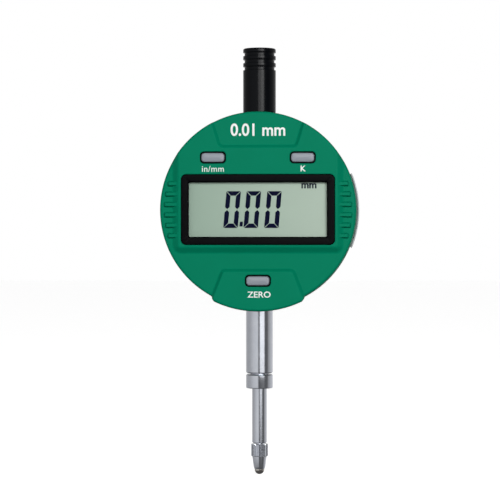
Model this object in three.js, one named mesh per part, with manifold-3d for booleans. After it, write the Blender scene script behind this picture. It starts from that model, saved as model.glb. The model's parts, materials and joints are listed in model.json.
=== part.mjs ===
// Digital indicator with a 12.7 mm measuring range, as an assembly of separate pieces.
// Millimetres. +Z runs up along the spindle axis, the display faces -Y, +X is the reader's right.
// The origin lies on the spindle axis, at the middle of the stem's clamping length.

import * as THREE from 'three';
import { mergeVertices } from 'three/addons/utils/BufferGeometryUtils.js';
import Module from 'manifold-3d';

const wasm = await Module();
wasm.setup();

// ---------------------------------------------------------------- driving dimensions

const GAP = 0.3; // space left between pieces that rest on each other
const RUNNING = 0.06; // radial clearance of a sliding fit

const SIDES = { large: 60, medium: 24, small: 10 }; // flats on a round body, a turned piece and a screw
const HEAD_Z = 39.5; // centre of the round body above the origin
const WALL = 2;

const COVER = { radius: 28.75, rimRadius: 29.1, front: -13, back: -1, edge: 0.8 };
const PLATFORM = { halfWidth: 25.3, bottom: -13, face: -14.5, slope: 2, corner: 2.6 };
const LOGO_PANEL = { halfTop: 13.9, halfBottom: 10.8, bottom: 18.2, top: 27.4, depth: 0.8, corner: 1.6 };
const ZERO_PAD = {
  halfTop: 11.4, halfBottom: 15.2, top: -17, bottom: -30.5, face: -14, slope: 1, corner: 1.8,
};
const BULGE = { radius: 29.8, halfWidth: 14.1, top: -24 };
const GRIP = { count: 6, pitch: 3.04, height: 1.4, inner: 24.2, outer: 27.4, rise: 0.4 };

const CASE = { radius: 29.1, front: -0.7, back: 7.6, floor: 2.4 };
const LUG = { plateRadius: 26.5, plate: 2.2, thickness: 5, holeY: 17.8, holeRadius: 3.25, endRadius: 6.2 };

const SCREW_SPOT = { x: 19.8, z: 14.4 }; // screws that join the cover to the case
const COVER_SCREW = { seat: 6.5, length: 14.5, shank: 0.9, head: 1.8, headHeight: 0.8 };
const BACK_SCREW = { ring: 22, length: 4.6, shank: 0.95, head: 1.9, headHeight: 1.2 };
const BOARD_SCREW = { length: 4.2, shank: 0.8, head: 1.6, headHeight: 0.8 };
const POST_RADIUS = 2;
const BOARD_SPOTS = [[6.8, 16.8], [-12.5, -15], [12.5, -15]];

const FRAME = { width: 45.1, height: 20.8, front: -14.7, flange: 1, lip: 0.6, corner: 1.5 };
const VIEW = { width: 40.3, height: 15.9 }; // what is seen of the display
const SLEEVE = { width: 43.2, height: 18.4, back: -12, corner: 0.8 };
const GLASS = { width: 40.7, height: 16.3 };
const WINDOW = { front: -13.8, thickness: 0.6 };
const LCD = { front: -12.9, thickness: 1.2 };
const HOLDER = { width: 43, height: 22, front: -10.7, back: -6.6, window: [38, 11] };
const ZEBRA = { width: 36, height: 1.4, z: 7.2 };

const BOARD = { back: -5.1, thickness: 1 };
const CHIP_RADIUS = 4;
const BUTTON = {
  width: 6.7, height: 2.6, proud: 0.5, corner: 0.9, flangeFront: -10.7, flange: 0.8, flangeMargin: 1.8,
};
const COLLAR = { width: 7.9, height: 3.85, proud: 0.15, corner: 1.3, depth: 2.6 };
const BUTTONS = [
  { name: 'unit', x: -13.1, z: 15.2, face: PLATFORM.face },
  { name: 'k', x: 13.1, z: 15.2, face: PLATFORM.face },
  { name: 'zero', x: 0, z: -20.8, face: ZERO_PAD.face },
];
const SWITCH = { size: 4.6, front: -8.2, plungerFront: -9.6, plungerRadius: 1 };

const CELL = { radius: 10, thickness: 3.2, x: 16.5, front: 0.8 };
const TRAY = { inner: 6, front: 1, back: 4.7, floor: 0.5, side: 0.6, faceRadius: 29.7, faceHalf: 11.2 };
const TRAY_FACE = { front: -0.2, back: 5.8 };
const TRAY_SLOT = { inner: 20, front: 0.5, back: 5, half: 11.4 };
const CONTACT = { thickness: 0.3, height: 3 };

const STEM = { radius: 4, bore: 3, bottom: -9, top: 16.5, chamfer: 0.45 };
const END_BUSH = { top: -9.3, bottom: -13.5, bore: 2.8 };
const WIPER = { inner: 2.35, outer: 3.2, bottom: -12.8, height: 1.4 };
const LOWER_BUSH = { outer: 2.7, bottom: -8.4, top: 15.8 };
const BOSS = { outer: 3.6, bore: 3, bottom: 62.4, top: 73, flangeRadius: 5.2, flange: 1.6 };
const UPPER_BUSH = { outer: 2.7, bottom: 63, top: 70.5 };

const SPINDLE = { radius: 2.2, bottom: -29.8, top: 71.5 };
const POINT = { knurlRadius: 2.55, knurlBottom: -33.8, coneTop: 2.15, coneBottom: 1.72, bottom: -36.9 };
const POINT_SHANK = { radius: 1.2, top: -25, holeTop: -24.5 };
const BALL = { radius: 1.5, tip: -39.2 };
const CARRIER = { half: 4.2, front: -4, back: 4.9, bottom: 27.5, top: 44 };
const ARM = { end: -13.4, front: -1, back: 2.6, bottom: 34, top: 40 };
const STRIP = { half: 4, front: -4.8, thickness: 0.5, bottom: 22, top: 47 };
const BUMPER = { inner: 2.26, outer: 3.6, bottom: 17.1, height: 2 };
const GUIDE = { x: -8, y: 0.8, radius: 1, bottom: 15.3, top: 63 };
const SPRING = { x: -12, y: 0.8, radius: 1.4, wire: 0.25, bottom: 19.4, top: 33.4, turns: 7 };
const SPRING_POST = { radius: 0.8, z: 18, front: -1, back: 4.9 };

const CAP = { radius: 4.88, bore: 3.95, bottom: 68.9, top: 87.75, roof: 1.2, edge: 0.4 };
const CAP_GROOVES = { first: 1.25, pitch: 2.1, width: 1, depth: 0.42, count: 3 };
const CAP_RECESS = { radius: 4.35, height: 1.5 };
const SEAL = { radius: 3.95, wire: 0.25, z: 69.6 };

// ---------------------------------------------------------------- finishes

const FINISHES = {
  greenPlastic: { color: 0x008060, roughness: 0.5, metalness: 0 },
  greyPlastic: { color: 0xb9bcbc, roughness: 0.55, metalness: 0 },
  blackPlastic: { color: 0x0c0d10, roughness: 0.3, metalness: 0 },
  blackMetal: { color: 0x0f141e, roughness: 0.4, metalness: 0.6 },
  buttonGrey: { color: 0xa5a8a8, roughness: 0.5, metalness: 0 },
  clear: { color: 0xe8eeee, roughness: 0.05, metalness: 0 },
  display: { color: 0xa3b5a2, roughness: 0.3, metalness: 0 },
  whitePlastic: { color: 0xe4e4e0, roughness: 0.6, metalness: 0 },
  rubber: { color: 0x16171a, roughness: 0.85, metalness: 0 },
  board: { color: 0x1c5a34, roughness: 0.5, metalness: 0 },
  epoxy: { color: 0x101012, roughness: 0.35, metalness: 0 },
  steel: { color: 0xc4c7ca, roughness: 0.22, metalness: 1 },
  brass: { color: 0xc2a25c, roughness: 0.35, metalness: 1 },
  aluminium: { color: 0xb4b6b8, roughness: 0.4, metalness: 1 },
  carbide: { color: 0x6c7074, roughness: 0.15, metalness: 1 },
};

// ---------------------------------------------------------------- solids

function toSolid(geometry) {
  const bare = geometry.clone();
  bare.deleteAttribute('normal');
  bare.deleteAttribute('uv');
  const merged = mergeVertices(bare);
  const corners = merged.index.array;
  const triangles = [];
  for (let i = 0; i < corners.length; i += 3) {
    const [a, b, c] = corners.slice(i, i + 3);
    if (a !== b && b !== c && c !== a) triangles.push(a, b, c);
  }
  return new wasm.Manifold(new wasm.Mesh({
    numProp: 3,
    vertProperties: Float32Array.from(merged.attributes.position.array),
    triVerts: Uint32Array.from(triangles),
  }));
}

function toGeometry(solid) {
  const mesh = solid.getMesh();
  const geometry = new THREE.BufferGeometry();
  geometry.setAttribute('position', new THREE.BufferAttribute(mesh.vertProperties, 3));
  geometry.setIndex(new THREE.BufferAttribute(mesh.triVerts, 1));
  geometry.computeVertexNormals();
  return geometry;
}

// A box between two opposite corners.
function block([x0, y0, z0], [x1, y1, z1]) {
  const box = new THREE.BoxGeometry(x1 - x0, y1 - y0, z1 - z0);
  return toSolid(box.translate((x0 + x1) / 2, (y0 + y1) / 2, (z0 + z1) / 2));
}

// A profile of [radius, height] points turned about the Y axis. A profile off the axis makes a ring.
function turnedGeometry(profile, segments) {
  const points = profile.map(([radius, height]) => new THREE.Vector2(radius, height));
  if (THREE.ShapeUtils.area(points) < 0) points.reverse();
  const onAxis = points.some((point) => point.x === 0);
  if (!onAxis) points.push(points[0].clone());
  return new THREE.LatheGeometry(points, segments);
}

function turnedAboutY(profile, x = 0, z = 0, segments = SIDES.medium) {
  return toSolid(turnedGeometry(profile, segments).translate(x, 0, z));
}

function turnedAboutZ(profile, x = 0, y = 0, segments = SIDES.medium) {
  return toSolid(turnedGeometry(profile, segments).rotateX(Math.PI / 2).translate(x, y, 0));
}

function rodAlongY(radius, front, back, x = 0, z = 0, segments = SIDES.medium) {
  return turnedAboutY([[0, front], [radius, front], [radius, back], [0, back]], x, z, segments);
}

function rodAlongZ(radius, bottom, top, x = 0, y = 0, segments = SIDES.medium) {
  return turnedAboutZ([[0, bottom], [radius, bottom], [radius, top], [0, top]], x, y, segments);
}

function sleeveAlongZ(inner, outer, bottom, top, x = 0, y = 0, segments = SIDES.medium) {
  return turnedAboutZ([[inner, bottom], [outer, bottom], [outer, top], [inner, top]], x, y, segments);
}

// An outline in the XZ plane, with every corner rounded.
function roundedOutline(corners, radius) {
  const shape = new THREE.Shape();
  corners.forEach(([x, z], i) => {
    const corner = new THREE.Vector2(x, z);
    const before = new THREE.Vector2(...corners.at(i - 1));
    const after = new THREE.Vector2(...corners[(i + 1) % corners.length]);
    const enter = corner.clone().add(before.sub(corner).setLength(radius));
    const leave = corner.clone().add(after.sub(corner).setLength(radius));
    if (i === 0) shape.moveTo(enter.x, enter.y);
    else shape.lineTo(enter.x, enter.y);
    shape.quadraticCurveTo(corner.x, corner.y, leave.x, leave.y);
  });
  shape.closePath();
  return shape;
}

function rectangle(width, height, corner) {
  const [x, z] = [width / 2, height / 2];
  return roundedOutline([[-x, -z], [x, -z], [x, z], [-x, z]], corner);
}

// A slab with an XZ outline, from the front face to the back face, centred on (x, z).
function slab(outline, front, back, x = 0, z = 0) {
  const options = { depth: back - front, bevelEnabled: false, curveSegments: 4 };
  const geometry = new THREE.ExtrudeGeometry(outline, options);
  return toSolid(geometry.rotateX(Math.PI / 2).translate(x, back, z));
}

// Outline points moved inwards, for an outline that runs anticlockwise.
function inset(points, distance) {
  return points.map((point, i) => {
    const along = points[(i + 1) % points.length].clone().sub(points.at(i - 1)).normalize();
    return new THREE.Vector2(point.x - along.y * distance, point.y + along.x * distance);
  });
}

// A pad that rises from base to face, sloping inwards all round. Its foot is sunk into the wall.
function slopedPad(outline, base, face, slope) {
  const foot = outline.getPoints(4);
  if (foot[0].distanceTo(foot.at(-1)) < 1e-6) foot.pop();
  const count = foot.length;
  const sunk = base + 1;
  const rings = [[foot, sunk], [foot, base], [inset(foot, slope), face]];
  const vertices = rings.flatMap(([points, y]) => points.flatMap((point) => [point.x, y, point.y]));
  const triangles = [];
  for (let i = 0; i < count; i += 1) {
    const next = (i + 1) % count;
    for (const ring of [0, count]) {
      const above = ring + count;
      triangles.push(ring + i, ring + next, above + next);
      triangles.push(ring + i, above + next, above + i);
    }
    if (i > 0 && next > 0) {
      triangles.push(0, next, i);
      triangles.push(2 * count, 2 * count + i, 2 * count + next);
    }
  }
  const geometry = new THREE.BufferGeometry();
  geometry.setAttribute('position', new THREE.Float32BufferAttribute(vertices, 3));
  geometry.setIndex(triangles);
  return toSolid(geometry);
}

function unite(solids) {
  return solids.reduce((whole, solid) => whole.add(solid));
}

function cut(solid, tools) {
  return tools.reduce((rest, tool) => rest.subtract(tool), solid);
}

// ---------------------------------------------------------------- scene building

const indicator = new THREE.Group();
indicator.name = 'digital_indicator';
const head = new THREE.Group(); // everything measured from the centre of the round body
head.position.z = HEAD_Z;
indicator.add(head);

function place(group, name, solid, finish, position = [0, 0, 0]) {
  const mesh = new THREE.Mesh(toGeometry(solid), new THREE.MeshStandardMaterial(FINISHES[finish]));
  mesh.name = name;
  mesh.position.set(...position);
  group.add(mesh);
}

// ---------------------------------------------------------------- casing

const COVER_HOLLOW = COVER.rimRadius - WALL;
const CASE_FLOOR_FACE = CASE.back - CASE.floor;

function signedPairs(x, z) {
  return [[-x, z], [x, z], [-x, -z], [x, -z]];
}

// The round cover with its chamfered front edge, still solid.
function coverDisc() {
  return turnedAboutY([
    [0, COVER.front], [COVER.radius - COVER.edge, COVER.front], [COVER.radius, COVER.front + COVER.edge],
    [COVER.rimRadius, COVER.back], [0, COVER.back],
  ], 0, 0, SIDES.large);
}

function chamferedDisc(radius, face, back) {
  return turnedAboutY([
    [0, face], [radius - COVER.edge, face], [radius, face + COVER.edge], [radius, back], [0, back],
  ], 0, 0, SIDES.large);
}

function raisedPlatform() {
  const outline = roundedOutline([
    [-PLATFORM.halfWidth, PLATFORM.bottom], [PLATFORM.halfWidth, PLATFORM.bottom],
    [PLATFORM.halfWidth, 32], [-PLATFORM.halfWidth, 32],
  ], PLATFORM.corner);
  const pad = slopedPad(outline, COVER.front, PLATFORM.face, PLATFORM.slope);
  return pad.intersect(chamferedDisc(COVER.radius, PLATFORM.face, COVER.back));
}

function zeroPad() {
  const outline = roundedOutline([
    [-ZERO_PAD.halfBottom, ZERO_PAD.bottom], [ZERO_PAD.halfBottom, ZERO_PAD.bottom],
    [ZERO_PAD.halfTop, ZERO_PAD.top], [-ZERO_PAD.halfTop, ZERO_PAD.top],
  ], ZERO_PAD.corner);
  const pad = slopedPad(outline, COVER.front, ZERO_PAD.face, ZERO_PAD.slope);
  return pad.intersect(chamferedDisc(BULGE.radius, ZERO_PAD.face, COVER.back));
}

// The slightly larger rim below the zero button, where the stem enters.
function bottomBulge() {
  const sector = block(
    [-BULGE.halfWidth, COVER.front, -BULGE.radius - 1],
    [BULGE.halfWidth, COVER.back, BULGE.top],
  );
  return sector.intersect(chamferedDisc(BULGE.radius, COVER.front, COVER.back));
}

function gripBars() {
  const bars = [];
  for (let i = 0; i < GRIP.count; i += 1) {
    const z = (i - (GRIP.count - 1) / 2) * GRIP.pitch;
    for (const side of [-1, 1]) {
      const [near, far] = [side * GRIP.inner, side * GRIP.outer].sort((a, b) => a - b);
      bars.push(block(
        [near, COVER.front - GRIP.rise, z - GRIP.height / 2],
        [far, COVER.front + 0.5, z + GRIP.height / 2],
      ));
    }
  }
  return bars;
}

function logoPanel() {
  const outline = roundedOutline([
    [-LOGO_PANEL.halfBottom, LOGO_PANEL.bottom], [LOGO_PANEL.halfBottom, LOGO_PANEL.bottom],
    [LOGO_PANEL.halfTop, LOGO_PANEL.top], [-LOGO_PANEL.halfTop, LOGO_PANEL.top],
  ], LOGO_PANEL.corner);
  return slab(outline, PLATFORM.face - 1, PLATFORM.face + LOGO_PANEL.depth);
}

// Openings that the stem and the cap boss need through the rims of both shells.
function spindleLineCuts() {
  const flats = 20;
  return [
    rodAlongZ(STEM.radius + GAP, -BULGE.radius - 2, -20, 0, 0, flats),
    rodAlongZ(BOSS.outer + GAP, 20, BULGE.radius + 2, 0, 0, flats),
  ];
}

// The seat of the display frame, and the holes for its sleeve and the button collars.
function faceOpenings() {
  const outside = PLATFORM.face - 1;
  const inside = COVER.front + WALL + 1;
  const seat = rectangle(FRAME.width + GAP, FRAME.height + GAP, FRAME.corner);
  const sleeveHole = rectangle(SLEEVE.width + 2 * GAP, SLEEVE.height + 2 * GAP, SLEEVE.corner);
  const collarHole = rectangle(COLLAR.width + GAP, COLLAR.height + GAP, COLLAR.corner);
  return [
    slab(seat, outside, FRAME.front + FRAME.flange + GAP),
    slab(sleeveHole, outside, inside),
    ...BUTTONS.map(({ x, z }) => slab(collarHole, outside, inside, x, z)),
  ];
}

// Round posts, or the holes in them, at a list of [x, z] spots.
function rodsAt(spots, radius, front, back) {
  return spots.map(([x, z]) => rodAlongY(radius, front, back, x, z, SIDES.small));
}

function frontCover() {
  const outside = unite([coverDisc(), raisedPlatform(), bottomBulge(), zeroPad(), ...gripBars()]);
  const hollow = rodAlongY(COVER_HOLLOW, COVER.front + WALL, COVER.back + 1, 0, 0, SIDES.large);
  const shell = cut(outside, [hollow, logoPanel(), ...faceOpenings(), ...spindleLineCuts()]);
  const wallFace = COVER.front + WALL - 0.2;
  const holeFloor = COVER.front + WALL + 2;
  const boardFace = BOARD.back - BOARD.thickness - GAP;
  const screwSpots = signedPairs(SCREW_SPOT.x, SCREW_SPOT.z);
  const posts = [
    ...rodsAt(screwSpots, POST_RADIUS, wallFace, COVER.back),
    ...rodsAt(BOARD_SPOTS, POST_RADIUS, wallFace, boardFace),
  ];
  const holes = [
    ...rodsAt(screwSpots, COVER_SCREW.shank + GAP, holeFloor, COVER.back + 1),
    ...rodsAt(BOARD_SPOTS, BOARD_SCREW.shank + GAP, holeFloor - 0.6, COVER.back),
  ];
  return cut(unite([shell, ...posts]), holes);
}

// Ears inside the case that hold the two ends of the guide rail.
function guideEars() {
  const halfWidth = 2;
  const ear = (bottom, top) => block(
    [GUIDE.x - halfWidth, CASE.front + 0.2, bottom - HEAD_Z],
    [GUIDE.x + halfWidth, CASE_FLOOR_FACE + 0.2, top - HEAD_Z],
  );
  return [ear(GUIDE.bottom - 0.8, GUIDE.bottom + 2.2), ear(GUIDE.top - 2.2, GUIDE.top + 0.8)];
}

function rearCase() {
  const cup = turnedAboutY([
    [0, CASE.back], [CASE.radius - COVER.edge, CASE.back], [CASE.radius, CASE.back - COVER.edge],
    [CASE.radius, CASE.front], [COVER_HOLLOW, CASE.front],
    [COVER_HOLLOW, CASE_FLOOR_FACE], [0, CASE_FLOOR_FACE],
  ], 0, 0, SIDES.large);
  const traySlot = block(
    [TRAY_SLOT.inner, TRAY_SLOT.front, -TRAY_SLOT.half],
    [CASE.radius + 2, TRAY_SLOT.back, TRAY_SLOT.half],
  );
  const holes = [...coverScrewHoles(), ...rodsAt(backScrewSpots(), BACK_SCREW.shank + GAP, 4, 8)];
  return cut(unite([cup, ...guideEars()]), [traySlot, ...spindleLineCuts(), ...holes, ...guideHoles()]);
}

// Stepped holes through the case floor, with room for the screw heads.
function coverScrewHoles() {
  const shank = COVER_SCREW.shank + GAP;
  const headHole = COVER_SCREW.head + GAP;
  const seat = COVER_SCREW.seat - GAP;
  const profile = [[0, 4], [shank, 4], [shank, seat], [headHole, seat], [headHole, 8], [0, 8]];
  return signedPairs(SCREW_SPOT.x, SCREW_SPOT.z).map(([x, z]) => turnedAboutY(profile, x, z, SIDES.small));
}

// The holes that hold the guide rail's ends and the spring post's foot.
function guideHoles() {
  const railBottom = GUIDE.bottom - HEAD_Z - GAP;
  const railTop = GUIDE.top - HEAD_Z + GAP;
  const postEnd = SPRING_POST.back + 1.3;
  const postZ = SPRING_POST.z - HEAD_Z;
  return [
    rodAlongZ(GUIDE.radius + GAP, railBottom, railTop, GUIDE.x, GUIDE.y, SIDES.small),
    rodAlongY(SPRING_POST.radius + GAP, CASE_FLOOR_FACE - 1, postEnd, SPRING.x, postZ, SIDES.small),
  ];
}

function backScrewSpots() {
  return [[BACK_SCREW.ring, 0], [0, BACK_SCREW.ring], [-BACK_SCREW.ring, 0], [0, -BACK_SCREW.ring]];
}

// The back plate with its lug. The lug's cross hole takes the clamping bolt of a stand.
function lugBack() {
  const front = CASE.back + GAP;
  const back = front + LUG.plate;
  const chamfer = 0.6;
  const plate = turnedAboutY([
    [0, front], [LUG.plateRadius, front], [LUG.plateRadius, back - chamfer],
    [LUG.plateRadius - chamfer, back], [0, back],
  ], 0, 0, SIDES.large);
  const half = LUG.thickness / 2;
  const web = block([-half, back - 0.4, -LUG.endRadius], [half, LUG.holeY, LUG.endRadius]);
  const acrossX = (radius, length) => {
    const round = new THREE.CylinderGeometry(radius, radius, length, SIDES.medium);
    return toSolid(round.rotateZ(Math.PI / 2).translate(0, LUG.holeY, 0));
  };
  const screwHoles = rodsAt(backScrewSpots(), BACK_SCREW.shank + GAP, front - 1, back + 1);
  const body = unite([plate, web, acrossX(LUG.endRadius, LUG.thickness)]);
  return cut(body, [acrossX(LUG.holeRadius, 20), ...screwHoles]);
}

// A pan-head screw along Y: the head stands behind the seat and the shank runs forward from it.
function screw({ head: headRadius, headHeight, shank, length }) {
  const body = turnedAboutY([
    [0, -length], [shank * 0.6, -length], [shank, -length + shank * 0.6], [shank, 0], [headRadius, 0],
    [headRadius, headHeight * 0.6], [headRadius * 0.75, headHeight], [0, headHeight],
  ], 0, 0, SIDES.small);
  const slotHalf = headRadius * 0.14;
  const slotReach = headRadius * 0.55;
  const slotFloor = headHeight * 0.45;
  return cut(body, [
    block([-slotReach, slotFloor, -slotHalf], [slotReach, headHeight + 1, slotHalf]),
    block([-slotHalf, slotFloor, -slotReach], [slotHalf, headHeight + 1, slotReach]),
  ]);
}

function placeCasing() {
  place(head, 'front_cover', frontCover(), 'greenPlastic');
  place(head, 'rear_case', rearCase(), 'greyPlastic');
  place(head, 'lug_back', lugBack(), 'aluminium');
  signedPairs(SCREW_SPOT.x, SCREW_SPOT.z).forEach(([x, z], i) => {
    place(head, `cover_screw_${i + 1}`, screw(COVER_SCREW), 'steel', [x, COVER_SCREW.seat, z]);
  });
  const backSeat = CASE.back + LUG.plate + 2 * GAP;
  backScrewSpots().forEach(([x, z], i) => {
    place(head, `back_screw_${i + 1}`, screw(BACK_SCREW), 'steel', [x, backSeat, z]);
  });
}

// ---------------------------------------------------------------- display and board

function displayFrame() {
  const outline = rectangle(FRAME.width, FRAME.height, FRAME.corner);
  const flange = slab(outline, FRAME.front, FRAME.front + FRAME.flange);
  const sleeve = slab(rectangle(SLEEVE.width, SLEEVE.height, SLEEVE.corner), FRAME.front + 0.2, SLEEVE.back);
  const glassRoom = rectangle(GLASS.width + 2 * GAP, GLASS.height + 2 * GAP, 0.4);
  return cut(flange.add(sleeve), [
    slab(rectangle(VIEW.width, VIEW.height, 0.4), FRAME.front - 1, SLEEVE.back + 1),
    slab(glassRoom, FRAME.front + FRAME.lip, SLEEVE.back + 1),
  ]);
}

function pane({ front, thickness }) {
  return slab(rectangle(GLASS.width, GLASS.height, 0.3), front, front + thickness);
}

// The rubber strip that joins the display's upper or lower edge to the board.
function zebraStrip(side) {
  const [halfWidth, halfHeight] = [ZEBRA.width / 2, ZEBRA.height / 2];
  const front = LCD.front + LCD.thickness + GAP;
  const back = BOARD.back - BOARD.thickness - GAP;
  const z = side * ZEBRA.z;
  return block([-halfWidth, front, z - halfHeight], [halfWidth, back, z + halfHeight]);
}

function lcdHolder() {
  const outside = slab(rectangle(HOLDER.width, HOLDER.height, 1), HOLDER.front, HOLDER.back);
  const [front, back] = [HOLDER.front - 1, HOLDER.back + 1];
  const half = ZEBRA.height / 2 + GAP;
  const reach = ZEBRA.width / 2 + GAP;
  const slots = [-1, 1].map((side) => block(
    [-reach, front, side * ZEBRA.z - half],
    [reach, back, side * ZEBRA.z + half],
  ));
  return cut(outside, [slab(rectangle(...HOLDER.window, 0.5), front, back), ...slots]);
}

function mainBoard() {
  const outline = roundedOutline([
    [-9, -24], [9, -24], [16.4, -14], [16.4, 18.5], [-16.4, 18.5], [-16.4, -14],
  ], 0.8);
  const holes = rodsAt(BOARD_SPOTS, BOARD_SCREW.shank + GAP, BOARD.back - 2, BOARD.back + 1);
  return cut(slab(outline, BOARD.back - BOARD.thickness, BOARD.back), holes);
}

// A domed blob of potting over the measuring chip.
function processorChip() {
  const base = BOARD.back - BOARD.thickness - GAP;
  return turnedAboutY([
    [0, base - 1.1], [CHIP_RADIUS * 0.6, base - 0.9],
    [CHIP_RADIUS, base - 0.3], [CHIP_RADIUS, base], [0, base],
  ]);
}

function placeDisplay() {
  place(head, 'display_frame', displayFrame(), 'blackPlastic');
  place(head, 'display_window', pane(WINDOW), 'clear');
  place(head, 'lcd_glass', pane(LCD), 'display');
  place(head, 'lcd_holder', lcdHolder(), 'whitePlastic');
  place(head, 'zebra_strip_upper', zebraStrip(1), 'rubber');
  place(head, 'zebra_strip_lower', zebraStrip(-1), 'rubber');
  place(head, 'main_board', mainBoard(), 'board');
  place(head, 'processor_chip', processorChip(), 'epoxy');
  BOARD_SPOTS.forEach(([x, z], i) => {
    place(head, `board_screw_${i + 1}`, screw(BOARD_SCREW), 'steel', [x, BOARD.back + GAP, z]);
  });
}

// ---------------------------------------------------------------- buttons

function buttonCollar(face) {
  const front = face - COLLAR.proud;
  const back = face + COLLAR.depth;
  const bore = rectangle(BUTTON.width + GAP, BUTTON.height + GAP, BUTTON.corner);
  const collar = slab(rectangle(COLLAR.width, COLLAR.height, COLLAR.corner), front, back);
  return cut(collar, [slab(bore, front - 1, back + 1)]);
}

// The key, with a flange that keeps it behind the cover and touches the switch.
function button(face) {
  const { width, height, corner, proud, flangeFront, flangeMargin } = BUTTON;
  const key = slab(rectangle(width, height, corner), face - proud, flangeFront + 0.2);
  const flangeOutline = rectangle(width + flangeMargin, height + flangeMargin, 1);
  return key.add(slab(flangeOutline, flangeFront, flangeFront + BUTTON.flange));
}

function switchBase() {
  const half = SWITCH.size / 2;
  const base = block([-half, SWITCH.front, -half], [half, BOARD.back - BOARD.thickness - GAP, half]);
  const wellRadius = SWITCH.plungerRadius + GAP;
  return cut(base, [rodAlongY(wellRadius, SWITCH.front - 1, SWITCH.front + 1.2, 0, 0, SIDES.small)]);
}

function switchPlunger() {
  return rodAlongY(SWITCH.plungerRadius, SWITCH.plungerFront, SWITCH.front + 0.2, 0, 0, SIDES.small);
}

function placeButtons() {
  for (const { name, x, z, face } of BUTTONS) {
    const spot = [x, 0, z];
    place(head, `button_collar_${name}`, buttonCollar(face), 'rubber', spot);
    place(head, `button_${name}`, button(face), 'buttonGrey', spot);
    place(head, `switch_base_${name}`, switchBase(), 'blackPlastic', spot);
    place(head, `switch_plunger_${name}`, switchPlunger(), 'whitePlastic', spot);
  }
}

// ---------------------------------------------------------------- battery

// The tray slides out to the right. Its pocket is open towards the contacts and at its inner end.
function batteryTray() {
  const half = CELL.radius + GAP + TRAY.side;
  const pocket = CELL.radius + GAP;
  const floorFace = TRAY.back - TRAY.floor;
  const round = rodAlongY(CASE.radius + GAP + 0.1, TRAY.front, TRAY.back, 0, 0, SIDES.large);
  const drawer = block([TRAY.inner, TRAY.front, -half], [CASE.radius + 2, TRAY.back, half]).intersect(round);
  const slide = cut(drawer, [
    rodAlongY(pocket, TRAY.front - 1, floorFace, CELL.x, 0, 36),
    block([TRAY.inner - 1, TRAY.front - 1, -pocket], [CELL.x, floorFace, pocket]),
  ]);
  const rim = turnedAboutY([
    [CASE.radius + GAP, TRAY_FACE.front], [TRAY.faceRadius, TRAY_FACE.front + 0.2],
    [TRAY.faceRadius, TRAY_FACE.back - 0.2], [CASE.radius + GAP, TRAY_FACE.back],
  ], 0, 0, SIDES.large);
  const face = rim.intersect(block([20, -2, -TRAY.faceHalf], [32, 8, TRAY.faceHalf]));
  return unite([slide, face]);
}

function coinCell() {
  const [front, back] = [CELL.front, CELL.front + CELL.thickness];
  return turnedAboutY([
    [0, front], [CELL.radius - 1.2, front], [CELL.radius - 1.1, front + 0.25], [CELL.radius, front + 0.35],
    [CELL.radius, back - 0.2], [CELL.radius - 0.2, back], [0, back],
  ], CELL.x, 0, 36);
}

// A leaf spring cut from strip: its XY path, thickened.
function leaf(path) {
  const half = CONTACT.thickness / 2;
  const points = path.map(([x, y]) => new THREE.Vector2(x, y));
  const sides = points.map((point, i) => {
    const from = points[Math.max(i - 1, 0)];
    const to = points[Math.min(i + 1, points.length - 1)];
    const along = to.clone().sub(from).normalize();
    return new THREE.Vector2(-along.y, along.x).multiplyScalar(half);
  });
  const left = points.map((point, i) => point.clone().add(sides[i]));
  const right = points.map((point, i) => point.clone().sub(sides[i])).reverse();
  const options = { depth: CONTACT.height, bevelEnabled: false };
  const geometry = new THREE.ExtrudeGeometry(new THREE.Shape([...left, ...right]), options);
  return toSolid(geometry.translate(0, 0, -CONTACT.height / 2));
}

function placeBattery() {
  const foot = BOARD.back + GAP + CONTACT.thickness;
  const cellTouch = CELL.front - GAP - CONTACT.thickness;
  const cellEdge = CELL.x - CELL.radius - GAP - CONTACT.thickness;
  const negative = [[10, foot], [12.5, foot], [17.5, cellTouch], [20, cellTouch]];
  const positive = [[8.4, foot], [5.6, foot], [5.3, -2], [cellEdge, 2.6]];
  place(head, 'battery_tray', batteryTray(), 'greyPlastic');
  place(head, 'coin_cell', coinCell(), 'steel');
  place(head, 'battery_contact_negative', leaf(negative), 'brass');
  place(head, 'battery_contact_positive', leaf(positive), 'brass');
}

// ---------------------------------------------------------------- stem and guides

function stem() {
  const { radius, bore, bottom, top, chamfer } = STEM;
  return turnedAboutZ([
    [bore, bottom], [radius - chamfer, bottom], [radius, bottom + chamfer], [radius, top], [bore, top],
  ]);
}

// The short bush that closes the lower end of the stem and keeps the wiper in its groove.
function stemEndBush() {
  const grooveRadius = WIPER.outer + GAP;
  const grooveTop = WIPER.bottom + WIPER.height + GAP;
  const grooveBottom = WIPER.bottom - GAP;
  const { bore, bottom, top } = END_BUSH;
  const { radius, chamfer } = STEM;
  const edge = 0.25;
  return turnedAboutZ([
    [bore, bottom], [radius - edge, bottom], [radius, bottom + edge],
    [radius, top - chamfer], [radius - chamfer, top], [bore, top],
    [bore, grooveTop], [grooveRadius, grooveTop], [grooveRadius, grooveBottom], [bore, grooveBottom],
  ]);
}

// The threaded boss on top of the case that guides the spindle and takes the cap.
function capBoss() {
  const flangeTop = BOSS.bottom + BOSS.flange;
  return turnedAboutZ([
    [BOSS.bore, BOSS.bottom], [BOSS.flangeRadius, BOSS.bottom], [BOSS.flangeRadius, flangeTop],
    [BOSS.outer, flangeTop], [BOSS.outer, BOSS.top - 0.4],
    [BOSS.outer - 0.4, BOSS.top], [BOSS.bore, BOSS.top],
  ]);
}

function bush({ outer, bottom, top }) {
  return sleeveAlongZ(SPINDLE.radius + RUNNING, outer, bottom, top);
}

// A soft ring of a given height around the spindle.
function softRing({ inner, outer, bottom, height }) {
  return sleeveAlongZ(inner, outer, bottom, bottom + height);
}

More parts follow.
